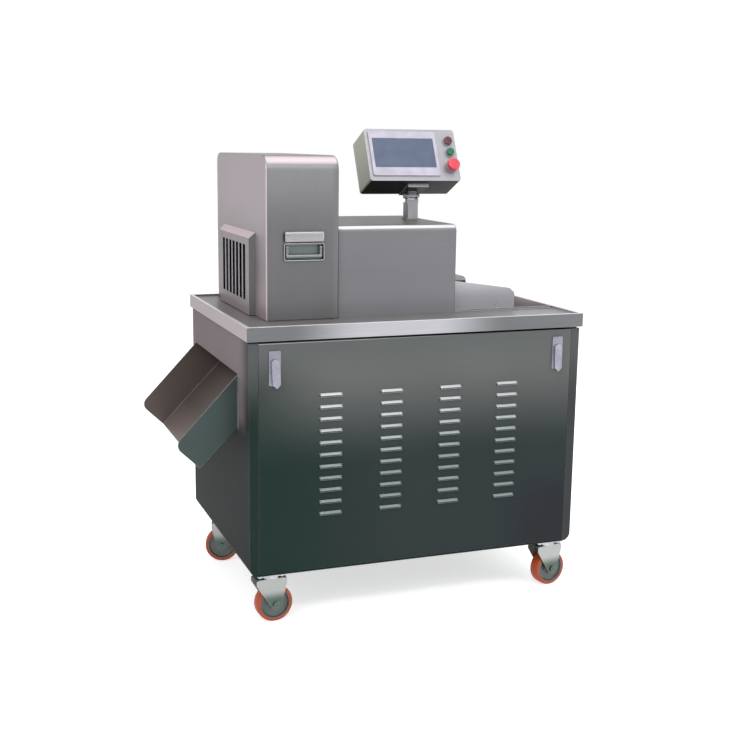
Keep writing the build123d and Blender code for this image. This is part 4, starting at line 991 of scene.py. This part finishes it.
@dataclass
class Studio:
    """Camera, lamps, world and floor."""

    position: Point = (-745.8, -2882.6, 1302.1)
    azimuth: float = -20.449
    elevation: float = 10.817
    roll: float = 0.723
    lens: float = 57.05
    sensor: float = 36.0
    floor_size: float = 14.0

    def camera(self) -> None:
        """Put the camera where the photograph was taken from."""
        a, e, r = (math.radians(v) for v in (self.azimuth, self.elevation, self.roll))
        back = Vector((math.sin(a) * math.cos(e), -math.cos(a) * math.cos(e), math.sin(e)))
        flat = (-back).cross(Vector((0, 0, 1))).normalized()
        above = flat.cross(-back)
        right = flat * math.cos(r) + above * math.sin(r)
        up = above * math.cos(r) - flat * math.sin(r)
        data = bpy.data.cameras.new("camera")
        data.lens = self.lens
        data.sensor_width = self.sensor
        data.clip_end = 60.0
        camera = into_scene("camera", data)
        turn = Matrix((right, up, back)).transposed().to_4x4()
        camera.matrix_world = Matrix.Translation(at(*self.position)) @ turn
        bpy.context.scene.camera = camera

    def lamp(self, name: str, where: Point, aim: Point, size: tuple[float, float], power: float,
             mirrored: bool = True) -> None:
        """Hang a soft lamp.

        Args:
            name: The lamp's name.
            where: Its place in metres.
            aim: The place that it points to.
            size: Its width and height in metres.
            power: Its power in watts.
            mirrored: Whether it shows in the metal.
        """
        data = bpy.data.lights.new(name, "AREA")
        data.shape = "RECTANGLE"
        data.size, data.size_y = size
        data.energy = power
        lamp = into_scene(name, data)
        turn = (Vector(where) - Vector(aim)).to_track_quat("Z", "Y").to_matrix().to_4x4()
        lamp.matrix_world = Matrix.Translation(where) @ turn
        lamp.visible_glossy = mirrored

    def world(self) -> None:
        """Light the room softly and show its background as white."""
        world = bpy.data.worlds.new("studio")
        world.use_nodes = True
        bpy.context.scene.world = world
        tree = Tree(world.node_tree)
        tree.tree.nodes.clear()
        seen = tree.seen_by("Is Camera Ray", "Is Transmission Ray")
        mirrored = tree.seen_by("Is Glossy Ray")
        soft = tree.add("ShaderNodeBackground", {"Color": (0.95, 0.96, 1.0, 1), "Strength": 0.62})
        mirror = tree.add("ShaderNodeBackground", {"Color": (1, 1, 1, 1), "Strength": 0.9})
        white = tree.add("ShaderNodeBackground", {"Color": (1, 1, 1, 1), "Strength": 1.0})
        room = tree.add("ShaderNodeMixShader", {0: mirrored, 1: soft.outputs[0], 2: mirror.outputs[0]})
        mix = tree.add("ShaderNodeMixShader", {0: seen, 1: room.outputs[0], 2: white.outputs[0]})
        tree.add("ShaderNodeOutputWorld", {"Surface": mix.outputs[0]})

    def floor(self) -> None:
        """Lay the pale floor."""
        form = Form()
        bmesh.ops.create_grid(form.bm, x_segments=1, y_segments=1, size=self.floor_size)
        floor = into_scene("floor", form.mesh("floor", scale=False))
        material, tree, shader = new_material("pale_floor")
        pale = tree.mix(tree.speckle(1.3), (0.82, 0.82, 0.82, 1), (0.86, 0.86, 0.86, 1))
        tree.link(pale, shader.inputs["Base Color"])
        shader.inputs["Roughness"].default_value = 0.9
        shader.inputs["Specular IOR Level"].default_value = 0.1
        shader.inputs["Emission Color"].default_value = (1, 1, 1, 1)
        seen = tree.seen_by("Is Camera Ray", "Is Glossy Ray", "Is Transmission Ray")
        tree.link(tree.remap(seen, 0.0, 1.0, 0.25, 0.6), shader.inputs["Emission Strength"])
        floor.data.materials.append(material)

    def build(self) -> None:
        """Set up the whole studio."""
        self.camera()
        self.world()
        self.floor()
        self.lamp("key", (-2.6, -2.2, 2.9), aim=(0, 0, 0.9), size=(2.0, 2.0), power=55.0)
        self.lamp("top", (0.2, -0.4, 3.4), aim=(0, 0, 0.8), size=(2.2, 2.2), power=36.0)
        self.lamp("fill", (2.8, -2.6, 1.8), aim=(0, 0, 0.7), size=(2.4, 2.4), power=30.0)
        self.lamp("rear", (1.2, 3.2, 2.2), aim=(0, 0, 0.7), size=(2.4, 2.4), power=40.0, mirrored=False)
        self.lamp("strip", (0.2, -2.7, 3.1), aim=(0, -0.2, 1.2), size=(3.2, 0.5), power=26.0)
        bpy.context.scene.view_settings.view_transform = "Standard"


@dataclass
class KnifeCover:
    """Tall hinged hood with the vent hood on its left side and the folding handle on its front."""

    machine: Machine
    left: float = 88.0
    right: float = 296.0
    front: float = 128.0
    back: float = 692.0
    base: float = 826.0
    top: float = 1271.0
    front_bend: float = 45.0
    back_bend: float = 28.0
    corner: float = 7.0
    sheet: float = 1.5
    vent_y: tuple[float, float] = (265.0, 565.0)
    vent_z: tuple[float, float] = (853.0, 1020.0)
    inner_y: tuple[float, float] = (150.0, 400.0)
    inner_top: float = 1008.0
    pan_left: float = 137.0
    pan_right: float = 253.0
    pan_low: float = 987.0
    pan_high: float = 1036.0
    pan_proud: float = 5.0
    pan_rim: float = 3.0
    pan_depth: float = 14.0
    pan_lap: float = 2.5
    pan_corner: float = 7.0
    pan_draft: float = 1.2
    pan_round: float = 1.2
    pan_sheet: float = 0.8
    brow_low: float = 1039.0
    brow_high: float = 1067.0
    brow_proud: float = 10.0
    brow_corner: float = 7.0
    brow_top_round: float = 6.0
    brow_low_round: float = 3.0

    def hood(self) -> None:
        """Bend, weld and open the hood."""
        form = Form()
        form.block((self.left, self.front, self.base), (self.right, self.back, self.top))
        form.remove(form.faces_where(lambda c, n: n.z < -0.9))
        for y, bend in ((self.front, self.front_bend), (self.back, self.back_bend)):
            form.bevel(form.edges_where(lambda m, d: abs(m.y - y) < 0.1 and abs(m.z - self.top) < 0.1
                                        and abs(d.x) > 0.9), bend, 10)
        form.window(0, self.left, self.vent_y, self.vent_z)
        form.window(0, self.right, self.inner_y, (self.base - 1, self.inner_top))
        form.window(1, self.front, (self.pan_left + self.pan_lap, self.pan_right - self.pan_lap),
                    (self.pan_low + self.pan_lap, self.pan_high - self.pan_lap))
        sides = form.edges_where(lambda m, d: abs(m.x - self.left) < 0.1 or abs(m.x - self.right) < 0.1)
        rims = [e for e in sides if len(e.link_faces) == 2 and e.calc_face_angle(0.0) > 0.5]
        form.bevel(rims, self.corner, 3)
        piece = self.machine.add("knife_cover_hood", form, "knife_cover", COVER, ("knife_cover",))
        self.machine.wall(piece, self.sheet)

    def pan(self) -> None:
        """Press the pan of the folding handle, with a narrow raised rim and rounded corners."""
        form = Form()
        left, right, low, high = self.pan_left, self.pan_right, self.pan_low, self.pan_high
        form.block((left, self.front - self.pan_proud, low), (right, self.front, high))
        form.bevel(form.edges_where(lambda m, d: abs(d.y) > 0.9), self.pan_corner, 5)
        form.remove(form.faces_where(lambda c, n: n.y > 0.9))
        face = form.faces_where(lambda c, n: n.y < -0.9)
        bmesh.ops.inset_region(form.bm, faces=face, thickness=self.pan_rim, use_even_offset=True)
        inside = self.pan_corner + 1
        floor = form.faces_where(lambda c, n: n.y < -0.9 and left + inside < c.x < right - inside
                                 and low + inside < c.z < high - inside)
        bmesh.ops.inset_region(form.bm, faces=floor, thickness=self.pan_draft, depth=-self.pan_depth,
                               use_even_offset=True)
        rims = form.edges_where(lambda m, d: abs(m.y - self.front + self.pan_proud) < 0.01)
        form.bevel([e for e in rims if e.calc_face_angle(0.0) > 0.5], self.pan_round, 3)
        piece = self.machine.add("handle_pan_pressing", form, "handle_pan", HANDLE, ("handle_pan",))
        self.machine.wall(piece, self.pan_sheet)

    def brow(self) -> None:
        """Form the brow over the handle pan, rounded like a pillow."""
        form = Form()
        form.block((self.pan_left, self.front - self.brow_proud, self.brow_low),
                   (self.pan_right, self.front, self.brow_high))
        form.bevel(form.edges_where(lambda m, d: abs(d.z) > 0.9 and m.y < self.front - self.brow_proud / 2),
                   self.brow_corner, 4)
        form.bevel(form.edges_where(lambda m, d: abs(d.z) < 0.1 and m.y < self.front - 0.1
                                    and abs(m.z - self.brow_high) < 0.1), self.brow_top_round, 4)
        form.bevel(form.edges_where(lambda m, d: abs(m.z - self.brow_low) < 0.1 and m.y < self.front - 0.1),
                   self.brow_low_round, 4)
        self.machine.add("handle_brow", form, "handle_pan", HANDLE, ("handle_pan",), COARSE_CREASE)

    def build(self) -> None:
        """Make the cover's pieces."""
        self.hood()
        self.machine.soften("vent_hood", VENT, 0.8, 2)
        self.pan()
        self.brow()
        self.machine.soften("handle_bail", BAIL, 0.5, 2)
        self.machine.finish_node("cover_hinge_strap", INNER)


@dataclass
class FeedCover:
    """Low fixed hood over the slitting rolls, with the rounded guard at its right end."""

    machine: Machine
    left: float = 297.0
    right: float = 657.0
    front: float = 140.0
    back: float = 570.0
    base: float = 824.0
    top: float = 1080.0
    bend: float = 20.0
    corner: float = 4.0
    sheet: float = 1.5
    knife_side_y: tuple[float, float] = (177.0, 406.0)
    knife_side_top: float = 1001.0
    infeed_y: tuple[float, float] = (156.0, 360.0)
    infeed_top: float = 928.0

    def hood(self) -> None:
        """Bend, weld and open the hood."""
        form = Form()
        form.block((self.left, self.front, self.base), (self.right, self.back, self.top))
        form.remove(form.faces_where(lambda c, n: n.z < -0.9))
        form.bevel(form.edges_where(lambda m, d: abs(m.z - self.top) < 0.1 and abs(d.x) > 0.9), self.bend, 8)
        form.window(0, self.left, self.knife_side_y, (self.base - 1, self.knife_side_top))
        form.window(0, self.right, self.infeed_y, (self.base - 1, self.infeed_top))
        sides = form.edges_where(lambda m, d: abs(m.x - self.left) < 0.1 or abs(m.x - self.right) < 0.1)
        rims = [e for e in sides if len(e.link_faces) == 2 and e.calc_face_angle(0.0) > 0.5]
        form.bevel(rims, self.corner, 3)
        piece = self.machine.add("feed_cover_hood", form, "feed_cover", FEED_COVER, ("feed_cover",))
        self.machine.wall(piece, self.sheet)

    def build(self) -> None:
        """Make the cover and its guard."""
        self.hood()
        self.machine.soften("infeed_guard", GUARD, 0.6, 2)


@dataclass
class Cabinet:
    """Table, cabinet sheets, chute and everything that stands on them."""

    machine: Machine
    length: float = 1000.0
    front: float = 7.0
    louvre_columns: int = 4
    louvre_rows: int = 11
    louvre_pitch_x: float = 176.4
    louvre_pitch_z: float = 33.2
    louvre_width: float = 66.0
    louvre_height: float = 10.0
    louvre_proud: float = 6.0
    louvre_top: float = 632.0
    louvre_lip: float = 3.5
    louvre_lap: float = 0.2
    louvre_end_slope: float = 7.0
    louvre_end_draft: float = 2.0
    louvre_fall: float = 4.4
    louvre_lip_fall: float = 0.2
    louvre_round: float = 1.2
    louvre_sheet: float = 0.9

    def louvres(self) -> None:
        """Press the front panel's louvres: flush along the top, a standing lip below, and sloped ends."""
        form = Form()
        out, back = self.front - self.louvre_proud, self.front + self.louvre_lap
        half = self.louvre_width / 2
        columns = [self.length / 2 + (n - (self.louvre_columns - 1) / 2) * self.louvre_pitch_x
                   for n in range(self.louvre_columns)]
        rows = [self.louvre_top - n * self.louvre_pitch_z for n in range(self.louvre_rows)]
        for x in columns:
            for z in rows:
                form.block((x - half, out, z), (x + half, back, z + self.louvre_height))
        for z in rows:
            everything = form.bm.verts[:] + form.bm.edges[:] + form.bm.faces[:]
            bmesh.ops.bisect_plane(form.bm, geom=everything, plane_co=(0, 0, z + self.louvre_lip),
                                   plane_no=(0, 0, 1), dist=TOUCH)
        for vert in form.bm.verts:
            if vert.co.y < self.front - 1:
                x = min(columns, key=lambda place: abs(place - vert.co.x))
                top = any(abs(vert.co.z - z - self.louvre_height) < 0.1 for z in rows)
                inwards = 1 if vert.co.x < x else -1
                vert.co.x += inwards * (self.louvre_end_slope if top else self.louvre_end_draft)
                vert.co.y += self.louvre_fall if top else self.louvre_lip_fall
        form.remove(form.faces_where(lambda c, n: n.z < -0.9 or n.y > 0.9))
        rims = form.edges_where(lambda m, d: m.y < self.front - 0.5)
        rims = [e for e in rims if len(e.link_faces) == 2 and e.calc_face_angle(0.0) > 0.3]
        form.bevel(rims, self.louvre_round, 3)
        piece = self.machine.add("front_panel_louvres", form, "front_panel", LOUVRE, ("front_panel",),
                                 COARSE_CREASE)
        self.machine.wall(piece, self.louvre_sheet)

    def panel(self) -> None:
        """Fold the front panel's sheet, whose slots lie behind the louvres."""
        form = Form()
        form.bm.from_mesh(self.machine.frame["nodes"]["front_panel"].data)
        bmesh.ops.remove_doubles(form.bm, verts=form.bm.verts, dist=WELD)
        flush = at(0, self.front - 0.1, 0).y
        form.remove(form.faces_where(lambda c, n: c.y < flush))
        piece = into_scene("front_panel_sheet", form.mesh("front_panel_sheet", scale=False))
        self.machine.smooth(piece)
        self.machine.place(piece, "front_panel", PANEL, ("front_panel",))

    def build(self) -> None:
        """Dress the cabinet's sheets."""
        soften, plain = self.machine.soften, self.machine.finish_node
        soften("worktop", TABLE, 1.0, 3, False)
        soften("feed_well", TABLE, 0.6, 2, False)
        soften("cabinet_shell", SHELL, 0.6, 2)
        soften("discharge_chute", CHUTE, 0.8, 2)
        self.panel()
        self.louvres()
        soften("latch_plates", LATCH, 0.8, 2)
        soften("latch_lever_left", LEVER, 1.6, 3)
        soften("latch_lever_right", LEVER, 1.6, 3)
        plain("rear_panel", SHELL)
        plain("chassis_frame", FRAME)
        plain("control_cabinet", BOX_PAINT)
        plain("cable_gland", BLACK)
        plain("switch_plate", YELLOW)
        plain("switch_knob", RED_KNOB)
        plain("cover_hinge_base", INNER)


@dataclass
class CuttingLine:
    """Feed belt, slitting rolls and rotating knife with their drives."""

    machine: Machine

    def build(self) -> None:
        """Dress the cutting line."""
        soften, plain = self.machine.soften, self.machine.finish_node
        soften("feed_plate_front", FEED_PLATE, 0.8, 2)
        soften("feed_plate_rear", FEED_PLATE, 0.8, 2)
        finishes = {
            "knife_head_plate": TURNED, "bearing_housing": TURNED, "meat_channel": INNER, "belt_bed": INNER,
            "feed_belt": BELT, "knife_motor": MOTOR, "knife_belt": DRIVE_BELT, "feed_gear_motor": MOTOR,
            "drive_chain": CHAIN, "knife_shaft": TURNED, "cutoff_knife": GROUND, "knife_pulley": IRON,
            "motor_pulley": IRON, "slitting_roll_lower": GROUND, "slitting_roll_upper": GROUND,
            "gear_motor_sprocket": CHAIN, "feed_drive_roller": TURNED, "feed_tail_roller": TURNED,
            "hold_down_roller": WHITE,
        }
        for node, finish in finishes.items():
            plain(node, finish)


@dataclass
class ControlUnit:
    """Tilting control box on its post."""

    machine: Machine

    def build(self) -> None:
        """Dress the control unit."""
        soften = self.machine.soften
        soften("screen_box", SCREEN_BOX, 1.6, 3)
        soften("screen_bezel", BEZEL, 1.2, 3)
        soften("screen_glass", DISPLAY, 0.4, 2)
        soften("screen_post", POST, 0.8, 2)
        soften("button_rings", RING, 0.8, 3)
        soften("pilot_lamp", LAMP, 0.6, 2)
        soften("start_button", GREEN, 1.2, 3)
        soften("stop_button", RED, 0.8, 2)


def both_sides(side: list[tuple[float, float]],
               crown: Sequence[tuple[float, float]] = ()) -> list[tuple[float, float]]:
    """Close a wheel's outline from the points of one side.

    Args:
        side: Distance from the wheel's middle and radius of each point on one side.
        crown: Points between the two sides.

    Returns:
        The whole outline, which ends where it starts.
    """
    other = [(-across, radius) for across, radius in side]
    return [*other, *crown, *side[::-1], other[0]]


@dataclass
class Casters:
    """Four swivel casters with polyurethane tyres."""

    machine: Machine
    radius: float = 52.0
    width: float = 36.0
    tyre: float = 9.0
    web_recess: float = 7.0
    web_root: float = 18.0
    boss: float = 13.0
    bore: float = 6.1
    trail: float = 12.0
    front_y: float = 42.0
    rear_y: float = 547.0
    inset: float = 70.0
    length: float = 1000.0

    def wheel(self, name: str, x: float, y: float, turn: float) -> None:
        """Make one wheel from a tyre and a core.

        Args:
            name: The caster's name.
            x: Kingpin's place along the table.
            y: Kingpin's distance from the table's front.
            turn: Direction of its trail in degrees.
        """
        a = math.radians(turn)
        centre = (x + self.trail * math.cos(a), y + self.trail * math.sin(a), self.radius)
        axis = (-math.sin(a), math.cos(a), 0.0)
        half = self.width / 2
        bed = self.radius - self.tyre
        tyre = Form()
        shoulder = [(half - 1, bed), (half, bed + 2), (half, self.radius - 5), (half - 1.5, self.radius - 2),
                    (half - 5, self.radius - 0.3)]
        tyre.turned(centre, axis, both_sides(shoulder, [(0, self.radius)]))
        node = "caster_wheel_" + name
        self.machine.add("tyre_" + name, tyre, node, TYRE, (node,))
        core = Form()
        face = [(half - 1, bed), (half - 0.5, bed - 3), (half - self.web_recess + 1, bed - 6),
                (half - self.web_recess, self.web_root), (half - 1, self.boss + 2), (half, self.boss),
                (half, self.bore)]
        core.turned(centre, axis, both_sides(face))
        self.machine.add("core_" + name, core, node, CORE, (node,))

    def build(self) -> None:
        """Make the casters."""
        places = {"front_left": (self.inset, self.front_y, 4.0),
                  "front_right": (self.length - self.inset, self.front_y, 10.0),
                  "rear_left": (self.inset, self.rear_y, 165.0),
                  "rear_right": (self.length - self.inset, self.rear_y, 190.0)}
        for name, (x, y, turn) in places.items():
            self.wheel(name, x, y, turn)
            self.machine.soften("caster_fork_" + name, FORK, 1.2, 2)
        self.machine.soften("caster_plates", PLATED, 0.6, 2)


def main() -> None:
    """Build the studio and the machine's looks."""
    logging.basicConfig(level=logging.INFO, format="%(name)s: %(message)s")
    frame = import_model()
    Studio().build()
    machine = Machine(frame)
    for part in (KnifeCover, FeedCover, Cabinet, CuttingLine, ControlUnit, Casters):
        part(machine).build()
        log.info("built %s", part.__name__)


if __name__ == "__main__":
    main()
